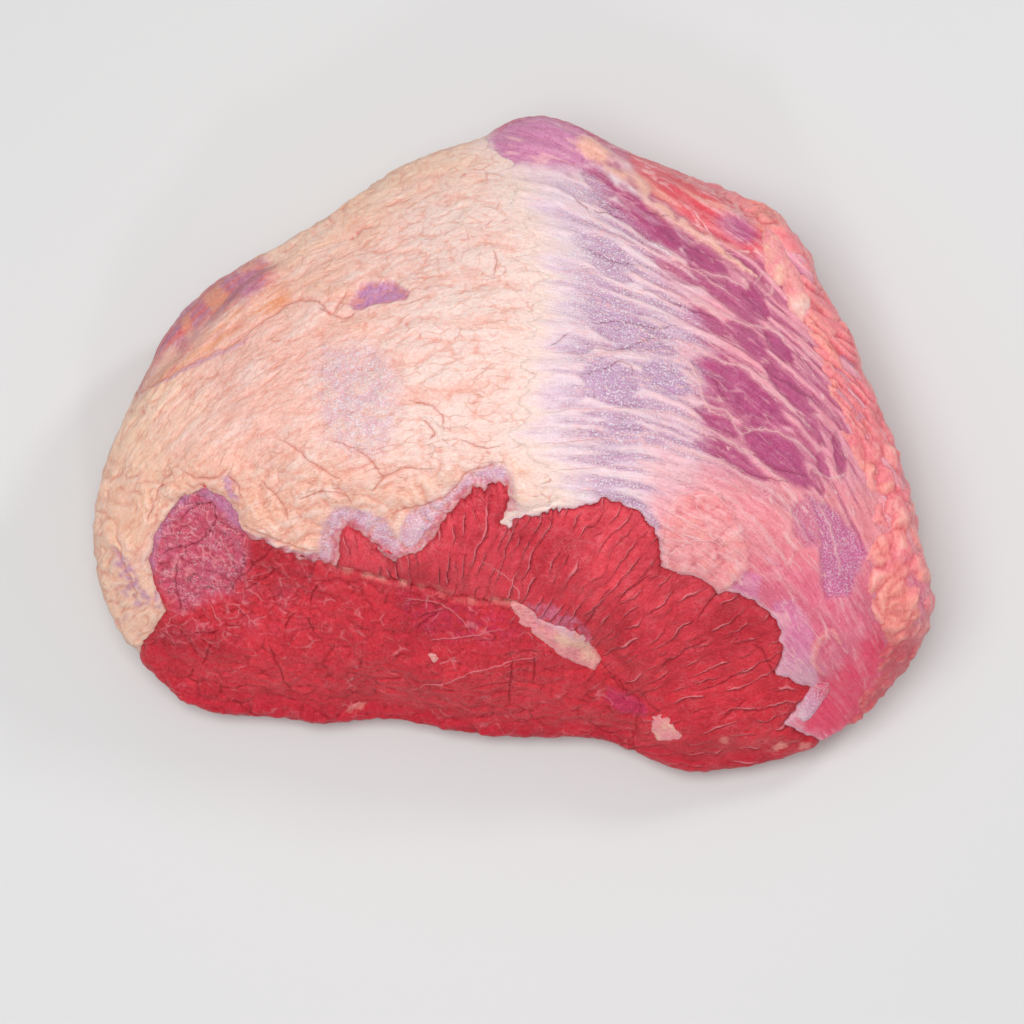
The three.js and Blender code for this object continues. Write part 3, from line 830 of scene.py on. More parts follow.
def lean_dress(place, inward):
    photo = place.bent
    right = patch(photo, RIGHT_MUSCLE, 6)
    # the right muscle's fibres fan out from a point, and lie in sheets that overlap
    away = photo - FAN_MIDDLE
    fan = np.stack([np.arctan2(away[:, 1], away[:, 0]) * FAN_REACH, np.hypot(*away.T)], axis=1) * PIXEL
    fan += wander(fan, 16, 1.6, 60)
    sheet = fan[:, 0] / 3.6 + 0.6 * noise(fan / (8, 16), 1, 61) + 0.1 * noise(fan / (2.6, 6), 1, 62)
    sheet_part = sheet - np.floor(sheet)
    sheet_edge = bump(np.minimum(sheet_part, 1 - sheet_part), 0.13)
    sheet_shown = ramp(noise(fan / (5, 8), 1, 63), -0.2, 0.3) * right
    # the left muscle's bundles are crumpled
    body = place.points + wander(place.points, 9, 2.4, 64)
    bundle_border, bundle_draw = cells(body / (9, 8, 6), 65)
    small = (body + wander(place.points, 3, 0.7, 66)) / (3.4, 3, 3)
    small_border = cells(small, 67)[0]
    broken = ramp(fractal(place.points, 8, 2, 68), 0, 0.4) * (1 - 0.8 * right)
    small_broken = ramp(fractal(place.points, 6, 2, 71), 0.05, 0.45) * (1 - 0.9 * right)
    pocket = patch(photo + wander(photo, 22, 7, 91), POCKET, 8)
    crumpled = np.maximum(pocket, 0.75 * blob(photo, 240, 604, 80, 34, -12, 0.6))
    groove = np.maximum(bump(bundle_border, 0.11) * broken, 0.5 * bump(small_border, 0.18) * small_broken)
    web_place = (body + wander(place.points, 4, 0.5, 87)) / (6.5, 6, 5)
    slits = strokes(photo, LEAN_SLITS, 3)
    strands = strokes(photo, LEAN_STRANDS, 3)
    seam = stroke(photo, SEAM[:8], 4, taper=False)
    under_cover = ramp(place.cover, -0.8, 0.4)
    edge_shade = bump(np.minimum(place.cover, 0), 2.2)

    height = (
        0.6 * fractal(place.points, 14, 3, 70) + 0.22 * fractal(place.points, 3.4, 3, 73)
        + 0.45 * ramp(bundle_border, 0, 0.5) * (1 - right) + 0.2 * ramp(small_border, 0, 0.5) * (1 - right)
        - 0.5 * groove + (0.7 * sheet_part - 0.35 * sheet_edge) * sheet_shown
        + 0.5 * (1 - right) * (billows(body / (1.5, 1, 1), 5, 2, 88) - 0.5)
        - 0.35 * crumpled * bump(small_border, 0.3) - 1.0 * pocket
        - 0.35 * slits + 0.2 * strands - 0.5 * seam + 0.7 * lip(inward, 2.4))
    height = height * ramp(place.height, 0.3, 5) - 0.9 * bump(np.minimum(place.cover, 0), 3)
    height = np.maximum(height, -2.3) * (1 - under_cover) - 2.4 * under_cover

    colours = painted(
        LEAN_RED,
        (LEAN_UPPER, right * ramp(photo[:, 1], 700, 560)),
        (LEAN_DEEP, 0.8 * ramp(fractal(place.points, 26, 3, 76), -0.2, 0.8)),
        # painted shade: the lean deeper red and darker towards the bottom
        (LEAN_SIDE, 0.8 * ramp(place.height, 26, 6)))
    colours = mottle(colours, np.where(right > 0.5, noise(fan / (3, 12), 1, 82), bundle_draw - 0.5), 0.16)
    colours = mottle(colours, fractal(place.points, 4, 3, 77), 0.12)
    colours = painted(
        colours,
        (POCKET_PINK, 0.75 * pocket + 0.3 * crumpled * ramp(noise(place.points, 6, 78), 0, 0.5)),
        (MAGENTA, 0.5 * patch(photo, SEAM_PINK, 9) * ramp(fractal(photo, 9, 2, 83), -0.4, 0.4)),
        # painted shade in the grooves between bundles, and a painted shadow under each sheet's edge
        (LEAN_PAINTED_SHADE, 0.3 * groove + 0.2 * sheet_edge * sheet_shown),
        # a painted highlight on the raised side of each sheet
        (LEAN_PALE, 0.1 * ramp(sheet_part, 0.7, 0.95) * sheet_shown),
        (PALE_LILAC, 0.25 * crumpled * ramp(small_border, 0.4, 0.7)),
        (LILAC, 0.85 * stroke(photo, POCKET_RIM, 15) * ramp(noise(photo, 8, 79), -0.7, 0)),
        (MAGENTA, 0.8 * patch(photo, CLEFT_MUSCLE, 3)),
        (SEAM_ORANGE, 0.8 * stroke(photo, SEAM[:6], 7) * ramp(noise(photo, 14, 80), -0.3, 0.3)),
        (SEAM_MAUVE, 0.8 * patch(photo, SEAM_LILAC, 3) * ramp(noise(photo, 7, 86), -0.5, 0.2)),
        # painted shade in the slits and under the cover's torn edge
        (LEAN_PAINTED_SHADE, 0.1 * slits + 0.35 * edge_shade * (1 - under_cover)),
        (SEAM_ORANGE, 0.8 * blobs(photo + wander(photo, 7, 3, 146), CRUMBS)))
    gloss = ramp(fractal(place.points, 14, 3, 81), -0.4, 0.6)
    fibres_here = right[:, None] > 0.5
    web = (0.7 - 0.4 * right) * ramp(fractal(place.points, 7, 2, 84), -0.1, 0.5)
    # a pale painted glint along each sheet's edge, and a dark line under it as a painted shadow
    shown = np.maximum(sheet_shown * ramp(noise(fan / (4, 7), 1, 89), -0.5, 0.1) * (place.cover < 1), 0.03)
    rim = np.sin(math.pi * (sheet + 0.12)) * 3.6 / math.pi / shown
    gap = np.sin(math.pi * sheet) * 3.6 / math.pi / shown
    return height, {
        # relief: painted shade in hollows and a painted highlight on rises
        "tone": colours, "relief": (LEAN_PAINTED_SHADE, LEAN_PAINTED_HIGHLIGHT, 0.4), "gloss": gloss,
        # white dots of painted glint, more of them in the pocket
        "glint_stipple": np.maximum(0.35 * pocket * ramp(noise(photo, 9, 85), -0.3, 0.3),
                              0.07 * ramp(noise(place.points, 5, 90), 0.1, 0.5)),
        "grain": np.where(fibres_here, np.column_stack([fan, place.height]), place.points),
        # pale lines of painted glint along the bundles' borders
        "web": np.clip(np.maximum(web, crumpled) * (1 - slits), 0, 1),
        "web_place": web_place,
        "line": nearer(line_reach(photo, LEAN_STRANDS), rim),
        "slit": nearer(line_reach(photo, LEAN_SLITS), gap)}


def body_dress(place, inward):
    """The lean under the other skins."""
    height, attributes = lean_dress(place, inward)
    under = ramp(np.maximum(cover_reach(place), cut_reach(place)), -0.5, 2)
    return height * (1 - under) - 2.6 * under, attributes


# The fat cover

CREAM = tone("efd3ca")
PEACH = tone("f9cfb4")
LOW_PEACH = tone("efb79f")
ROSE_FAT = tone("f0bfb2")
ORANGE_FAT = tone("eeb089")
BAND_ORANGE = tone("eb9c74")
WARM_RED = tone("e0706a")
FAT_SHADE = tone("e49a88")
FAT_CREASE_SHADE = tone("dd8a76")
PURPLE = tone("b25c88")
THROUGH_RED = tone("c84c5e")


def fat_dress(place, inward):
    photo = place.bent
    x, y = photo.T
    fibre = place.fibre
    # where the fat is crumpled into folds instead of drawn out along its fibres
    folds = ramp(y, 400, 500) * ramp(x, 560, 480)
    folds = np.maximum(folds, ramp(x * 0.6 + y, 470, 380))
    swirl = place.loose * PIXEL + wander(photo, 60, 9, 101)
    # lumps as long as they are wide where the fat is crumpled, and drawn out elsewhere
    drawn_out = fibre + wander(photo, 40, 2, 105)
    lump = (billows(swirl, 8, 3, 104) * folds + billows(drawn_out / (1, 2.6), 7, 3, 108) * (1 - folds))
    crease = bump(lump, 0.3) * ramp(fractal(photo, 30, 2, 116), -0.6, 0.2)
    wrinkle_place = fibre / (2.6, 15) + 0.25 * wander(photo, 20, 1, 106)
    wrinkle = bump(noise(wrinkle_place, 1, 107), 0.2) * ramp(fractal(photo, 40, 2, 109), -0.5, 0.3)
    lumps = blobs(photo, FAT_LUMPS)
    slits = strokes(photo, FAT_SLITS, 4)
    membrane = np.zeros(len(photo))
    frayed = photo + wander(photo, 16, 5, 142)
    for outline in EDGE_MEMBRANES:
        membrane = np.maximum(membrane, patch(frayed, outline, 4))
    gap = patch(photo, LILAC_GAP, 2)
    band = patch(photo, STREAK_BAND, 7) * ramp(noise(fibre / (3, 30), 1, 117), -0.7, 0)
    side_muscle = patch(photo + wander(place.loose, 22, 8, 145), SIDE_MUSCLE, 9)
    side_muscle = side_muscle * ramp(place.height + 9 * noise(place.points, 12, 144), 10, 24)
    stippled = patch(photo, STIPPLED_FAT, 16)
    nodules, nodule_draw = cells((place.points + wander(place.points, 10, 2, 110)) / (8, 5, 5), 113)
    nodular = ramp(x * 0.62 + y, 470, 390) * (1 - side_muscle)
    dots = np.zeros(len(photo))
    for dot in RED_DOTS:
        dots = np.maximum(dots, bump(np.hypot(*(photo - dot).T), 3.2))

    height = (
        0.8 * fractal(place.points, 18, 3, 115) + 0.3 * fractal(place.points, 5, 4, 118)
        + (0.8 + 1.0 * folds) * (np.minimum(lump, 1) - 0.6) - 0.25 * wrinkle * (1 - 0.7 * folds)
        + 1.0 * lumps - 0.35 * slits - 1.3 * gap + 1.2 * side_muscle - 0.9 * membrane
        + 0.5 * nodular * ramp(nodules, 0, 0.7) - 0.25 * nodular)
    height = height + 0.9 * (1 - membrane) * lip(place.cover, 2.6) + 0.4 * membrane * lip(place.cover, 1)
    at_crest = 1 - ramp(place.fat, 0, 14)
    height = np.clip(height, -2, 2.4) * (1 - 0.6 * at_crest) - 0.7 * at_crest

    edge = np.maximum(ramp(x * 0.62 + y + 30 * noise(photo, 50, 121), 510, 390),
                      ramp(x + 40 * noise(photo, 60, 122), 240, 130))
    low = ramp(y + 25 * noise(photo, 50, 123), 430, 490) * ramp(x, 540, 400)
    streaks = noise(fibre / (1.6, 14), 1, 128)
    # where the lean shows through the membranes
    fringe = noise(photo / (4, 12), 1, 143)
    through = membrane * ramp(inward + 1.8 * fractal(photo, 18, 3, 133) + 1.2 * fringe, 4.2, 0.6)
    colours = painted(
        ROSE_FAT,
        (CREAM, ramp(x + 0.2 * y + 40 * noise(photo, 60, 120), 370, 520)),
        (PEACH, edge),
        (LOW_PEACH, 0.75 * low * (1 - 0.6 * edge)),
        (ROSE_FAT, 0.7 * ramp(noise(fibre / (9, 34), 1, 124), 0.05, 0.6)),
        (CREAM, 0.6 * ramp(noise(fibre / (5, 22), 1, 125), 0, 0.5) * (1 - 0.6 * edge)))
    colours = mottle(colours, fractal(place.points, 6, 4, 126), 0.06)
    colours = painted(
        colours,
        (FAT_SHADE, 0.3 * ramp(fractal(swirl, 9, 3, 132), 0.15, 0.7)),
        (ORANGE_FAT, 0.45 * nodular * ramp(nodule_draw, 0.4, 1)),
        (CREAM, 0.25 * nodular * ramp(nodules, 0.3, 0.7)),
        # painted shade in the creases between lumps and in the wrinkles
        (FAT_SHADE, 0.6 * crease + 0.2 * wrinkle * (1 - 0.5 * folds)),
        # a painted highlight on the tops of the lumps
        (CREAM, 0.3 * ramp(lump, 0.7, 1.1)),
        (ORANGE_FAT, 0.35 * lumps),
        (WARM_RED, 0.8 * band * ramp(streaks, 0, 0.5)),
        (BAND_ORANGE, 0.9 * band * ramp(-streaks, -0.3, 0.3)),
        (PURPLE, side_muscle * (0.85 + 0.15 * noise(fibre / (2, 12), 1, 129))),
        (WARM_RED, 0.8 * side_muscle * ramp(noise(fibre / (2.4, 14), 1, 130), -0.1, 0.3)),
        (BAND_ORANGE, 0.7 * side_muscle * ramp(noise(place.loose, 26, 138), 0.1, 0.5)),
        (LILAC, 0.6 * stroke(photo, LILAC_STRIP, 4)),
        (PALE_LILAC, 0.7 * stippled * ramp(fractal(photo, 14, 3, 131), -0.5, 0.4)),
        (LILAC, gap),
        (PALE_LILAC, membrane),
        (LILAC, 0.55 * membrane * ramp(fractal(photo, 14, 3, 134), -0.3, 0.4)),
        (THROUGH_RED, 0.8 * through),
        (WARM_RED, 0.2 * slits + 0.8 * dots),
        (CREAM, ramp(place.fat + 4 * noise(fibre / (1.5, 16), 1, 139), 12, 2)),
        (LILAC, 0.85 * blobs(photo, LILAC_FRONT) * ramp(noise(photo, 7, 135), -0.4, 0.3)))
    return height, {
        # relief: painted shade in hollows and a painted highlight on rises
        "tone": colours, "relief": (FAT_SHADE, CREAM, 0.75 * ramp(place.fat, 1, 14)),
        "gloss": 0.35 + 0.4 * membrane + 0.3 * gap,
        # white dots of painted glint on the dotted patch and on the membranes
        "glint_stipple": np.maximum(0.8 * stippled, 0.6 * membrane * (1 - through)),
        "grain": np.column_stack([fibre, place.height * ramp(place.seen, 0.5, 0)]),
        # lines of painted shade in the creases
        "web": (0.4 + 0.6 * ramp(fractal(photo, 36, 3, 136), -0.3, 0.5)) * (1 - membrane) * (1 - side_muscle),
        "web_place": np.column_stack([drawn_out / (3.2, 7), place.height * 0]) + 0.5 * lump[:, None],
        "line": np.full(len(photo), NO_LINE),
        # slits darkened as painted shade
        "slit": line_reach(photo, FAT_SLITS)}


# The silverskin

SKIN_PINK = tone("e995a6")
SKIN_PALE = tone("e9cfd6")
SKIN_SALMON = tone("e98a90")
WINDOW_PALE = tone("dfc2d4")
WINDOW_LILAC = tone("c498ba")
WINDOW_MAGENTA = tone("b64c7c")
WINDOW_PURPLE = tone("9a3e6c")
LENS_PURPLE = tone("d26e9c")
STRAND = tone("f3bcbe")
SLIT_AND_HOLLOW_SHADE = tone("943c5a")
FACET_PINK = tone("e0525f")
FACET_MAGENTA = tone("bd5a86")
KNOB_MAUVE = tone("cc84a8")
CRIMSON_PINK = tone("e4486a")
LOW_PINK = tone("de6484")
RIM_PEACH = tone("f2ab98")
CORD_PEACH = tone("eeb3a2")
PLATE_SALMON = tone("ee9496")
FLAP_MAUVE = tone("dc7ea4")


def silver_dress(place, inward):
    photo = place.bent
    x, y = photo.T
    fibre = place.fibre + wander(photo * PIXEL, 12, 0.7, 201)
    knob = patch(photo + wander(photo, 10, 3, 202), KNOB, 10)
    facet = patch(photo, FACET, 6)
    crimson = patch(photo, CRIMSON, 9)
    plate = patch(photo, PLATE, 4)
    flaps = np.maximum(patch(photo, FLAPS[0], 3), patch(photo, FLAPS[1], 4))
    red = np.maximum(crimson, 0.7 * ramp(y, 600, 660) * ramp(x, 790, 830))
    plate_folds = billows(photo + wander(photo, 20, 8, 235), 34, 3, 236)
    # bundles of pale strands with windows between them, through which the muscle shows
    streaks = 16 * noise(fibre / (3, 34), 1, 203)
    magenta = patch(photo + np.stack([streaks, 0 * x], axis=1), DEEP_SIDE, 16)
    bundles = noise(fibre / (3.4, 46), 1, 204) + 0.5 * noise(fibre / (2.2, 24), 1, 205)
    bundles = ramp(bundles + 0.55 * ramp(y + 20 * noise(photo, 30, 207), 430, 500), -0.25, 0.35)
    strand_place = fibre / (3.1, 19) + 0.3 * wander(fibre / (2, 6), 1, 0.5, 206)
    border, draw = cells(strand_place, 208)
    strand = bump(border, 0.5) * ramp(noise(fibre / (5, 20), 1, 210), -0.5, 0.1)
    deep = fibre_windows(photo, fibre, DEEP_WINDOWS)
    lilac = fibre_windows(photo, fibre, LILAC_WINDOWS)
    lenses = np.maximum(patch(photo, LENS_WINDOWS[0], 4), 0.6 * patch(photo, LENS_WINDOWS[1], 4))
    drawn_strands = strokes(photo, SILVER_STRANDS, 4)
    ring = stroke(photo, RING_FOLD, 6) * ramp(noise(photo, 9, 233), -0.7, 0)
    cord = stroke(photo, CORD, 9) * ramp(noise(photo, 12, 232), -0.9, -0.1)
    cord = np.maximum(cord, blob(photo + wander(photo, 12, 4, 237), 594, 150, 19, 10, 35))
    cord = cord * ramp(place.seen, 0.05, 0.3)
    slits = strokes(photo, SILVER_SLITS, 4)
    windows = np.maximum(np.maximum(deep, lilac), lenses)
    bundles = np.clip(bundles - windows, 0, 1) * (1 - 0.8 * knob) * (1 - 0.8 * facet)

    height = (
        0.5 * fractal(place.points, 14, 3, 212) + 0.16 * fractal(place.points, 3, 3, 215)
        + 0.5 * bundles * (1 - red) + 0.2 * strand + 0.3 * drawn_strands - 0.35 * windows - 0.2 * slits
        + plate * (0.3 + 1.3 * plate_folds) + 0.4 * ring + 0.8 * cord + 0.4 * lip(inward, 1.2) - 0.45
        + 0.9 * (facet + knob) * noise(fibre / (3.4, 20), 1, 234))
    under_fat = ramp(place.fat, 0.5, 3)
    height = np.clip(height, -1.6, 1.4) * (1 - under_fat) - 2.0 * under_fat

    shown = painted(
        WINDOW_PALE,
        (WINDOW_LILAC, ramp(x, 540, 610)),
        (WINDOW_MAGENTA, magenta),
        (WINDOW_PURPLE, 0.7 * magenta * ramp(fractal(fibre / (4, 16), 1, 3, 223), 0, 0.7)),
        (LENS_PURPLE, lenses))
    shown = mottle(shown, fractal(place.points, 7, 4, 222), 0.1)
    skin_tone = painted(
        SKIN_PALE,
        (SKIN_PINK, ramp(x + 30 * noise(photo, 40, 220), 640, 740)),
        (SKIN_SALMON, 0.8 * ramp(y + 20 * noise(photo, 30, 221), 450, 520) * ramp(x, 620, 680)),
        (LOW_PINK, 0.8 * ramp(y, 520, 600) * ramp(x, 700, 780)))
    skin_tone = mottle(skin_tone, draw - 0.5, 0.16)
    crest = place.fat + 12 * noise(fibre / (2.6, 24), 1, 225) + 4 * noise(fibre / (1, 9), 1, 226)
    crest = ramp(crest, -20, -2)
    crest_tone = lay(SKIN_PALE, CREAM, ramp(place.fat, -10, 1))
    pale_strands = 0.25 * strand * (1 - windows) * (1 - knob) * (1 - red) + 0.3 * drawn_strands
    colours = painted(
        shown,
        (skin_tone, np.maximum(0.85 * bundles + 0.15 * (1 - windows), red)),
        (KNOB_MAUVE, knob),
        (STRAND, 0.6 * knob * ramp(noise(fibre / (2, 9), 1, 227), 0.1, 0.5)),
        (FACET_PINK, facet),
        (RIM_PEACH, 0.7 * facet * ramp(noise(fibre / (2.6, 30), 1, 228), 0.05, 0.5)),
        (FACET_MAGENTA, facet * blob(photo, 738, 228, 22, 12, 30, 0.5)),
        (PLATE_SALMON, plate * (0.85 + 0.15 * noise(photo, 22, 229))),
        # the cut sheet's folds lighter on their tops as a painted highlight, and darker in their creases as
        # painted shade
        (RIM_PEACH, 0.6 * plate * ramp(plate_folds, 0.5, 0.9)),
        (FACET_PINK, 0.35 * plate * bump(plate_folds, 0.3)),
        (FLAP_MAUVE, 0.95 * flaps),
        (PALE_LILAC, 0.6 * flaps * ramp(y, 640, 680)),
        (CRIMSON_PINK, crimson),
        (SKIN_PINK, 0.3 * crimson * ramp(noise(fibre / (3, 12), 1, 230), 0.15, 0.6)),
        (FACET_PINK, 0.7 * ramp(place.seen + 0.2 * noise(place.points, 20, 238), 0.5, 0)),
        (STRAND, pale_strands),
        (RIM_PEACH, 0.45 * ring),
        (CORD_PEACH, cord),
        (crest_tone, crest * (1 - knob) * (1 - 0.35 * lilac)),
        # painted shade in the slits
        (SLIT_AND_HOLLOW_SHADE, 0.12 * slits),
        (PALE_LILAC, 0.5 * bump(place.cover, 1.8) * (1 - plate) * (1 - red)),
        (STRAND, 0.8 * plate * bump(place.cover, 1.4)))
    stippled = (1 - magenta) * (1 - bundles) * ramp(x, 535, 590) * (1 - knob)
    return height, {
        # relief: painted shade in hollows and a painted highlight on rises
        "tone": colours, "relief": (SLIT_AND_HOLLOW_SHADE, SKIN_PALE, 0.4 * (1 - crest)),
        "gloss": 0.45 + 0.35 * np.maximum(windows, 1 - bundles),
        # white dots of painted glint on the windows and lenses
        "glint_stipple": np.clip(np.maximum(0.85 * stippled, 0.4 * lenses) * (1 - plate) * (1 - red), 0, 1),
        "grain": np.column_stack([fibre, place.height * ramp(place.seen, 0.5, 0)]),
        "web": ((1 - 0.55 * deep) * (1 - 0.6 * red) * (1 - knob) * (1 - crest)
                * ramp(noise(fibre / (6, 22), 1, 231), -0.4, 0.2)),
        "web_place": np.column_stack([strand_place, place.height * 0]),
        "line": line_reach(photo, SILVER_STRANDS + PLATE_LINES),
        # slits darkened as painted shade
        "slit": line_reach(photo, SILVER_SLITS)}


# Fat that lies on the silverskin

BORDER_PINK = tone("ea808a")
BORDER_PEACH = tone("ee9492")
BORDER_ORANGE = tone("f0988c")
BORDER_CREAM = tone("f4bcae")
BORDER_RED = tone("cc4a58")


def border_dress(place, inward):
    photo = place.bent
    y = photo[:, 1]
    ropes = ramp(y + 20 * noise(photo, 40, 300), 470, 400) * ramp(place.seen, 0, 0.45)
    body = place.points + wander(place.points, 9, 3, 301) + wander(place.points, 3.5, 0.8, 310)
    curd, draw = cells(body / (8, 9, 8), 304)
    small, small_draw = cells(body / (2.6, 3.4, 2.8), 305)
    rope_place = place.fibre / (2.6, 22) + 0.4 * wander(photo, 30, 1, 306)
    rope = np.abs(noise(rope_place, 1, 312))
    lobes = blobs(photo, BORDER_LOBES)
    height = (
        0.7 * fractal(place.points, 14, 3, 307) + 1.4 * (1 - ropes) * ramp(curd, 0, 0.7)
        + 0.3 * (1 - ropes) * ramp(small, 0, 0.6) + 1.3 * ropes * ramp(rope, 0, 0.4)
        + 0.9 * lobes + 1.2 * lip(inward, 3) - 0.15)
    peach = ramp(draw, 0.3, 0.9) * (1 - ropes) + 0.8 * ropes * ramp(noise(rope_place, 1, 313), 0, 0.5)
    side = ramp(place.height + 12 * noise(place.points, 14, 309), 38, 14)
    low = ramp(y + 12 * noise(photo, 20, 314), 615, 655)
    colours = painted(
        BORDER_PINK,
        (BORDER_PEACH, peach),
        (BORDER_ORANGE, 0.9 * lobes),
        (BORDER_CREAM, 0.5 * ramp(curd, 0.4, 0.8) * ramp(small_draw, 0.3, 0.8)),
        # painted shade in the creases between the curds and along the ropes
        (BORDER_RED, 0.4 * (1 - ropes) * bump(curd, 0.2) + 0.55 * ropes * bump(rope, 0.12)),
        (BORDER_RED, 0.85 * np.maximum(side, low)))
    colours = mottle(colours, fractal(place.points, 4, 3, 315), 0.08)
    # relief: painted shade in hollows and a painted highlight on rises
    return height, plain(
        place, colours, (BORDER_RED, BORDER_CREAM, 0.45), 0.7 + 0.3 * draw, 0, place.points)


# Fat and thin sheets that lie on the other skins

SCRAP_CREAM = tone("f0bca6")
SCRAP_PINK = tone("e98f96")
SHEET_LILAC = tone("dc90b0")


def strand_dress(place, inward):
    photo = place.bent
    finger = np.maximum(patch(photo, FINGER_OUTLINES[0], 4), patch(photo, FINGER_OUTLINES[1], 4))
    height = (
        0.2 + 0.5 * fractal(place.points, 5, 3, 401)
        + (1 + 1.2 * finger) * np.sqrt(np.clip(inward / 3.5, 0, 1))
        - 0.8 * finger - 0.2 * bump(noise(place.fibre / (1, 8), 1, 404), 0.2))
    colours = painted(
        SCRAP_PINK,
        (SCRAP_CREAM, ramp(fractal(photo, 18, 3, 405), -0.4, 0.6)),
        (SCRAP_PINK, 0.8 * finger * ramp(photo[:, 1], 304, 290) * ramp(photo[:, 0], 780, 796)),
        (CREAM, 0.6 * finger * bump(np.abs(photo[:, 1] - 308), 16)),
        (SCRAP_PINK, 0.8 * bump(photo[:, 1] - 200 - 0.8 * photo[:, 0], 14) * (1 - finger)),
        (LEAN_PALE, 0.6 * bump(inward, 1.3)),
        (PALE_LILAC, 0.7 * patch(photo, SEAM_LILAC, 5) * ramp(noise(photo, 7, 86), -0.6, 0.1)))
    colours = mottle(colours, fractal(place.points, 3, 3, 406), 0.1)
    grain = np.column_stack([place.fibre, place.height])
    # relief: painted shade in hollows and a painted highlight on rises
    return height, plain(place, colours, (SLIT_AND_HOLLOW_SHADE, CREAM, 0.4), 0.7, 0, grain)


def sheet_dress(place, inward):
    photo = place.bent
    height = (
        0.7 + 0.35 * fractal(place.points, 9, 3, 421) + 0.14 * fractal(place.points, 2.5, 2, 424)
        + 0.6 * lip(inward, 1.2))
    # from the sheet's free tip to where it is attached
    tip, root = np.array(FLAPS[2][0]), np.array(FLAPS[2][4])
    attached = (photo - tip) @ (root - tip) / ((root - tip) @ (root - tip)) + 0.1 * fractal(photo, 14, 2, 426)
    colours = painted(
        PALE_LILAC,
        (SHEET_LILAC, ramp(attached, 0.1, 0.6)),
        (CRIMSON_PINK, 0.8 * ramp(attached, 0.55, 1)))
    colours = mottle(colours, fractal(place.points, 5, 3, 428), 0.06)
    grain = np.column_stack([place.fibre, place.height])
    # relief: painted shade in hollows and a painted highlight on rises; the white dots are painted glints
    return height, plain(place, colours, (SLIT_AND_HOLLOW_SHADE, STRAND, 0.4), 0.8, 0.5, grain)


def drawn_reach(place, outlines):
    """How far a place that faces the camera lies inside any of some outlines, in millimetres."""
    torn = place.photo + wander(place.photo, 12, 1.4, 441)
    found = np.full(len(torn), -20.0)
    for outline in outlines:
        rows = rows_near(torn, outline, 12)
        found[rows] = np.maximum(found[rows], reach_in(torn[rows], outline))
    return np.minimum(found * PIXEL, 30 * (place.seen - EDGE_ON))


def strand_reach(place):
    return drawn_reach(place, FINGER_OUTLINES)


def scrap_reach(place):
    return drawn_reach(place, [SEAM_FAT, *SCRAPS])


def sheet_reach(place):
    return drawn_reach(place, FLAPS[2:])


def cover_reach(place):
    return np.minimum(place.cover, place.hem)


def fat_reach(place):
    return np.minimum(cover_reach(place), place.fat)


def silver_reach(place):
    return np.minimum(cover_reach(place), 4 - place.fat)


def border_reach(place):
    torn = place.photo + wander(place.photo, 18, 7, 311)
    return np.minimum(np.minimum(reach_in(torn, BORDER) * PIXEL, place.cover - 0.5), place.hem + 3)


def cut_reach(place):
    return np.minimum(1 - place.cover, place.height - 1.5)


def right_reach(place):
    return np.minimum(cut_reach(place), reach_in(place.bent, RIGHT_MUSCLE) * PIXEL)


def left_reach(place):
    return np.minimum(cut_reach(place), 0.6 - reach_in(place.bent, RIGHT_MUSCLE) * PIXEL)


# Materials

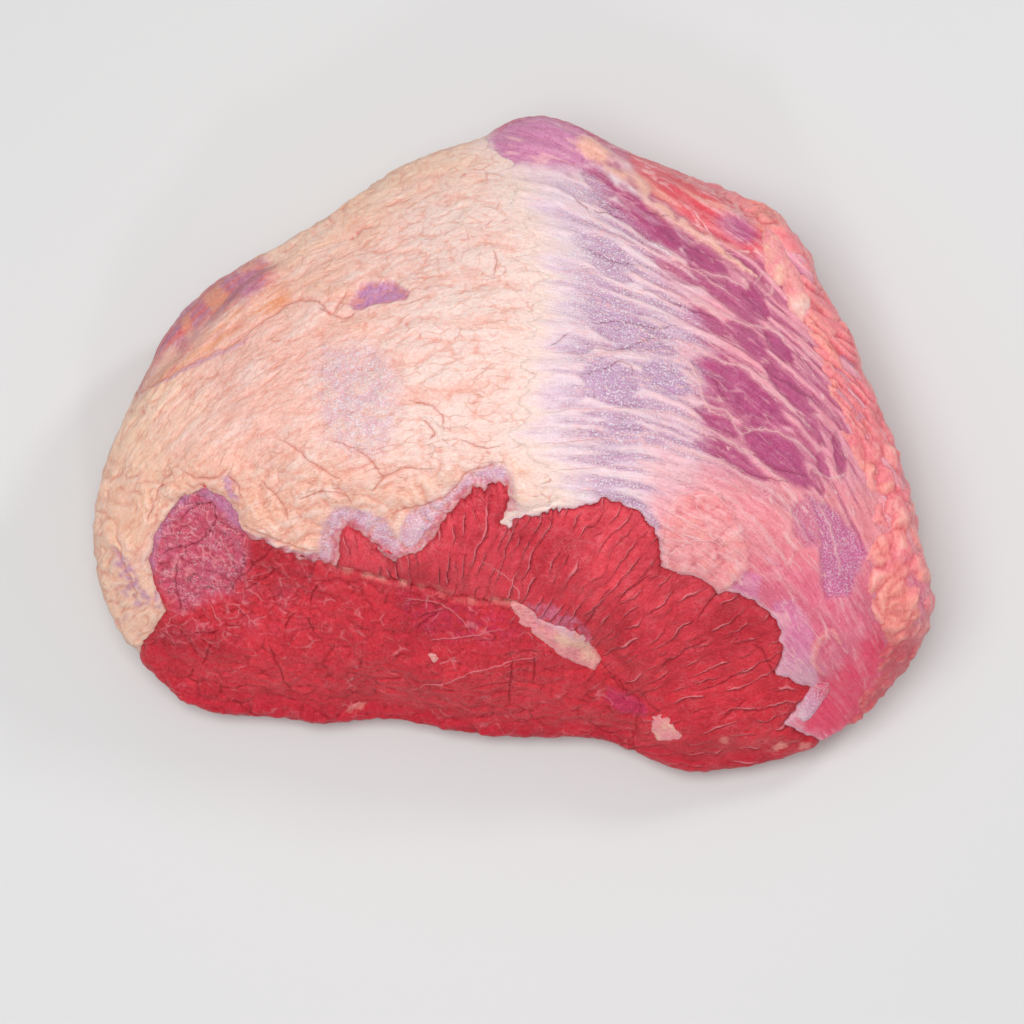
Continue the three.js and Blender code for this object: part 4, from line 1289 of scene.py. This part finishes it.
def flesh(name, roughness, coat, scatter, line_scale, line_contrast, relief, web_tone, web_share, slit_tone):
    """A wet, slightly translucent material whose colour comes from the skin's points."""
    material = bpy.data.materials.new(name)
    material.use_nodes = True
    nodes = material.node_tree.nodes
    links = material.node_tree.links
    shader = nodes["Principled BSDF"]

    def attribute(key, socket):
        node = nodes.new("ShaderNodeAttribute")
        node.attribute_name = key
        return node.outputs[socket]

    def texture(source, scale, detail):
        mapping = nodes.new("ShaderNodeMapping")
        mapping.inputs["Scale"].default_value = scale
        links.new(source, mapping.inputs["Vector"])
        grain = nodes.new("ShaderNodeTexNoise")
        grain.inputs["Scale"].default_value = 1
        grain.inputs["Detail"].default_value = detail
        links.new(mapping.outputs["Vector"], grain.inputs["Vector"])
        return grain.outputs["Fac"]

    def spread(value, low, high, out_low, out_high):
        node = nodes.new("ShaderNodeMapRange")
        ends = {"From Min": low, "From Max": high, "To Min": out_low, "To Max": out_high}
        for socket, number in ends.items():
            node.inputs[socket].default_value = number
        links.new(value, node.inputs["Value"])
        return node.outputs["Result"]

    def combine(operation, a, b):
        node = nodes.new("ShaderNodeMath")
        node.operation = operation
        for socket, value in zip(node.inputs, (a, b)):
            if isinstance(value, (int, float)):
                socket.default_value = value
            else:
                links.new(value, socket)
        return node.outputs["Value"]

    def blend(kind, share, under, over):
        node = nodes.new("ShaderNodeMix")
        node.data_type = "RGBA"
        node.blend_type = kind
        for socket, value in ((node.inputs[0], share), (node.inputs[6], under), (node.inputs[7], over)):
            if isinstance(value, (float, tuple)):
                socket.default_value = value
            else:
                links.new(value, socket)
        return node.outputs[2]

    body = nodes.new("ShaderNodeTexCoord").outputs["Object"]
    grain = attribute("grain", "Vector")
    lines = texture(grain, line_scale, 3)
    specks = texture(body, (1300, 1300, 1300), 1)
    grey = combine("ADD", combine("MULTIPLY", lines, 0.6), combine("MULTIPLY", specks, 0.4))
    grey = spread(grey, 0.3, 0.7, 0, 1)
    coloured = blend("SOFT_LIGHT", line_contrast, attribute("tone", "Color"), grey)
    # a web of fine lines, broken up, and the lines drawn one by one
    web = nodes.new("ShaderNodeTexVoronoi")
    web.feature = "DISTANCE_TO_EDGE"
    web.inputs["Scale"].default_value = 1
    links.new(attribute("web_place", "Vector"), web.inputs["Vector"])
    gaps = spread(texture(body, (300, 300, 300), 1), 0.42, 0.56, 0, 1)
    web_line = combine("MULTIPLY", spread(web.outputs["Distance"], 0.01, 0.07, 1, 0), attribute("web", "Fac"))
    web_line = combine("MULTIPLY", web_line, gaps)
    drawn = spread(combine("ABSOLUTE", attribute("line", "Fac"), 0.0), 0.06, 0.3, 1, 0)
    web_line = combine("MAXIMUM", web_line, combine("MULTIPLY", drawn, 0.9))
    # the web and drawn lines are laid into the colour: pale painted glints on the lean, painted shade in the
    # fat's creases, and the silverskin's own pale strands
    coloured = blend("MIX", combine("MULTIPLY", web_line, web_share), coloured, (*web_tone, 1.0))
    # dark slit lines, laid into the colour as painted shade
    slit = spread(combine("ABSOLUTE", attribute("slit", "Fac"), 0.0), 0.04, 0.26, 1, 0)
    coloured = blend("MIX", combine("MULTIPLY", slit, 0.45), coloured, (*slit_tone, 1.0))
    # pale dots laid into the colour as painted glints, as much as each point's share says
    points = texture(body, (1600, 1600, 1600), 1)
    dot = combine("MULTIPLY", spread(points, 0.5, 0.62, 0, 0.75), attribute("glint_stipple", "Fac"))
    coloured = blend("MIX", dot, coloured, (0.93, 0.84, 0.88, 1))
    links.new(coloured, shader.inputs["Base Color"])
    wet = combine("ADD", attribute("gloss", "Fac"), combine("MULTIPLY", specks, 0.5))
    links.new(spread(wet, 0, 1.4, roughness + 0.12, roughness - 0.12), shader.inputs["Roughness"])
    shader.inputs["Subsurface Weight"].default_value = scatter
    shader.inputs["Subsurface Radius"].default_value = (1, 0.4, 0.25)
    shader.inputs["Subsurface Scale"].default_value = 1.6 * MM
    shader.inputs["Specular IOR Level"].default_value = 0.15
    shader.inputs["Coat Weight"].default_value = coat
    shader.inputs["Coat Roughness"].default_value = 0.12
    bumps = nodes.new("ShaderNodeBump")
    bumps.inputs["Distance"].default_value = relief * MM
    bumps.inputs["Strength"].default_value = 1
    fine_relief = combine("ADD", combine("ADD", lines, combine("MULTIPLY", specks, 0.6)), dot)
    ridges = combine("SUBTRACT", combine("MULTIPLY", web_line, 0.6), combine("MULTIPLY", slit, 0.6))
    links.new(combine("ADD", fine_relief, ridges), bumps.inputs["Height"])
    links.new(bumps.outputs["Normal"], shader.inputs["Normal"])
    links.new(bumps.outputs["Normal"], shader.inputs["Coat Normal"])
    return material


# The lean's web lines and the pale rims of its sheets are painted glints, and its slit lines painted shade;
# the fat's web and slit lines are painted shade in its creases.
LEAN = flesh("lean", 0.4, 0.1, 0.0, (1.6, 0.6, 1.0), 0.45, 0.3, tone("ee949c"), 0.6, LEAN_SLIT_SHADE)
FAT = flesh("fat", 0.45, 0.2, 0.25, (1.3, 0.6, 1.0), 0.4, 0.3, FAT_SHADE, 0.6, FAT_CREASE_SHADE)
SILVER = flesh("silverskin", 0.38, 0.3, 0.15, (2.2, 0.22, 1.0), 0.45, 0.28, STRAND, 0.75, SLIT_AND_HOLLOW_SHADE)

skin("lean", lambda at: at.height + 1, body_dress, LEAN, closed=True, fine=lambda at: at.height < 0,
     cut=lambda at: (cut_reach(at) < 3) & (cover_reach(at) < 3) & (at.height < 30) & (at.height > 0.5))
skin("left_muscle", left_reach, lean_dress, LEAN, cuts=4)
skin("right_muscle", right_reach, lean_dress, LEAN, cuts=4)
skin("fat_cover", fat_reach, fat_dress, FAT)
skin("silverskin", silver_reach, silver_dress, SILVER)
skin("border_fat", border_reach, border_dress, FAT)
skin("strand_fat", strand_reach, strand_dress, FAT, cuts=5)
skin("seam_fat", scrap_reach, strand_dress, FAT, cuts=5)
skin("torn_sheets", sheet_reach, sheet_dress, SILVER, cuts=5)

# The stage
floor_mesh = bpy.data.meshes.new("floor")
floor_reach = 3.0
floor_mesh.from_pydata([(-floor_reach, -floor_reach, 0), (floor_reach, -floor_reach, 0),
                        (floor_reach, floor_reach, 0), (-floor_reach, floor_reach, 0)], [], [(0, 1, 2, 3)])
floor = bpy.data.objects.new("floor", floor_mesh)
bpy.context.scene.collection.objects.link(floor)
floor_material = bpy.data.materials.new("floor")
floor_material.use_nodes = True
floor_material.node_tree.nodes["Principled BSDF"].inputs["Base Color"].default_value = (0.7, 0.7, 0.7, 1)
floor_material.node_tree.nodes["Principled BSDF"].inputs["Roughness"].default_value = 0.9
floor_mesh.materials.append(floor_material)

world = bpy.data.worlds.new("studio")
world.use_nodes = True
world.node_tree.nodes["Background"].inputs["Color"].default_value = (1, 1, 1, 1)
world.node_tree.nodes["Background"].inputs["Strength"].default_value = 0.38
bpy.context.scene.world = world


def softbox(name, place, size, watts):
    """A soft lamp aimed at the joint."""
    lamp = bpy.data.lights.new(name, "AREA")
    lamp.shape = "DISK"
    lamp.size = size
    lamp.energy = watts
    stand = bpy.data.objects.new(name, lamp)
    stand.location = place
    direction = -stand.location
    stand.rotation_euler = direction.to_track_quat("-Z", "Y").to_euler()
    bpy.context.scene.collection.objects.link(stand)


softbox("overhead", (-0.2, -0.1, 1.15), 0.8, 8.5)
softbox("front", (0.1, -0.95, 0.8), 0.15, 1.3)
softbox("back_right", (0.75, 0.55, 0.75), 0.2, 3)

lens = bpy.data.cameras.new("camera")
lens.lens = LENS
lens.sensor_width = SENSOR
camera = bpy.data.objects.new("camera", lens)
camera.location = EYE * MM
camera.rotation_euler = (math.pi / 2 - ELEVATION, 0, 0)
bpy.context.scene.collection.objects.link(camera)
bpy.context.scene.camera = camera
bpy.context.scene.view_settings.view_transform = "Standard"
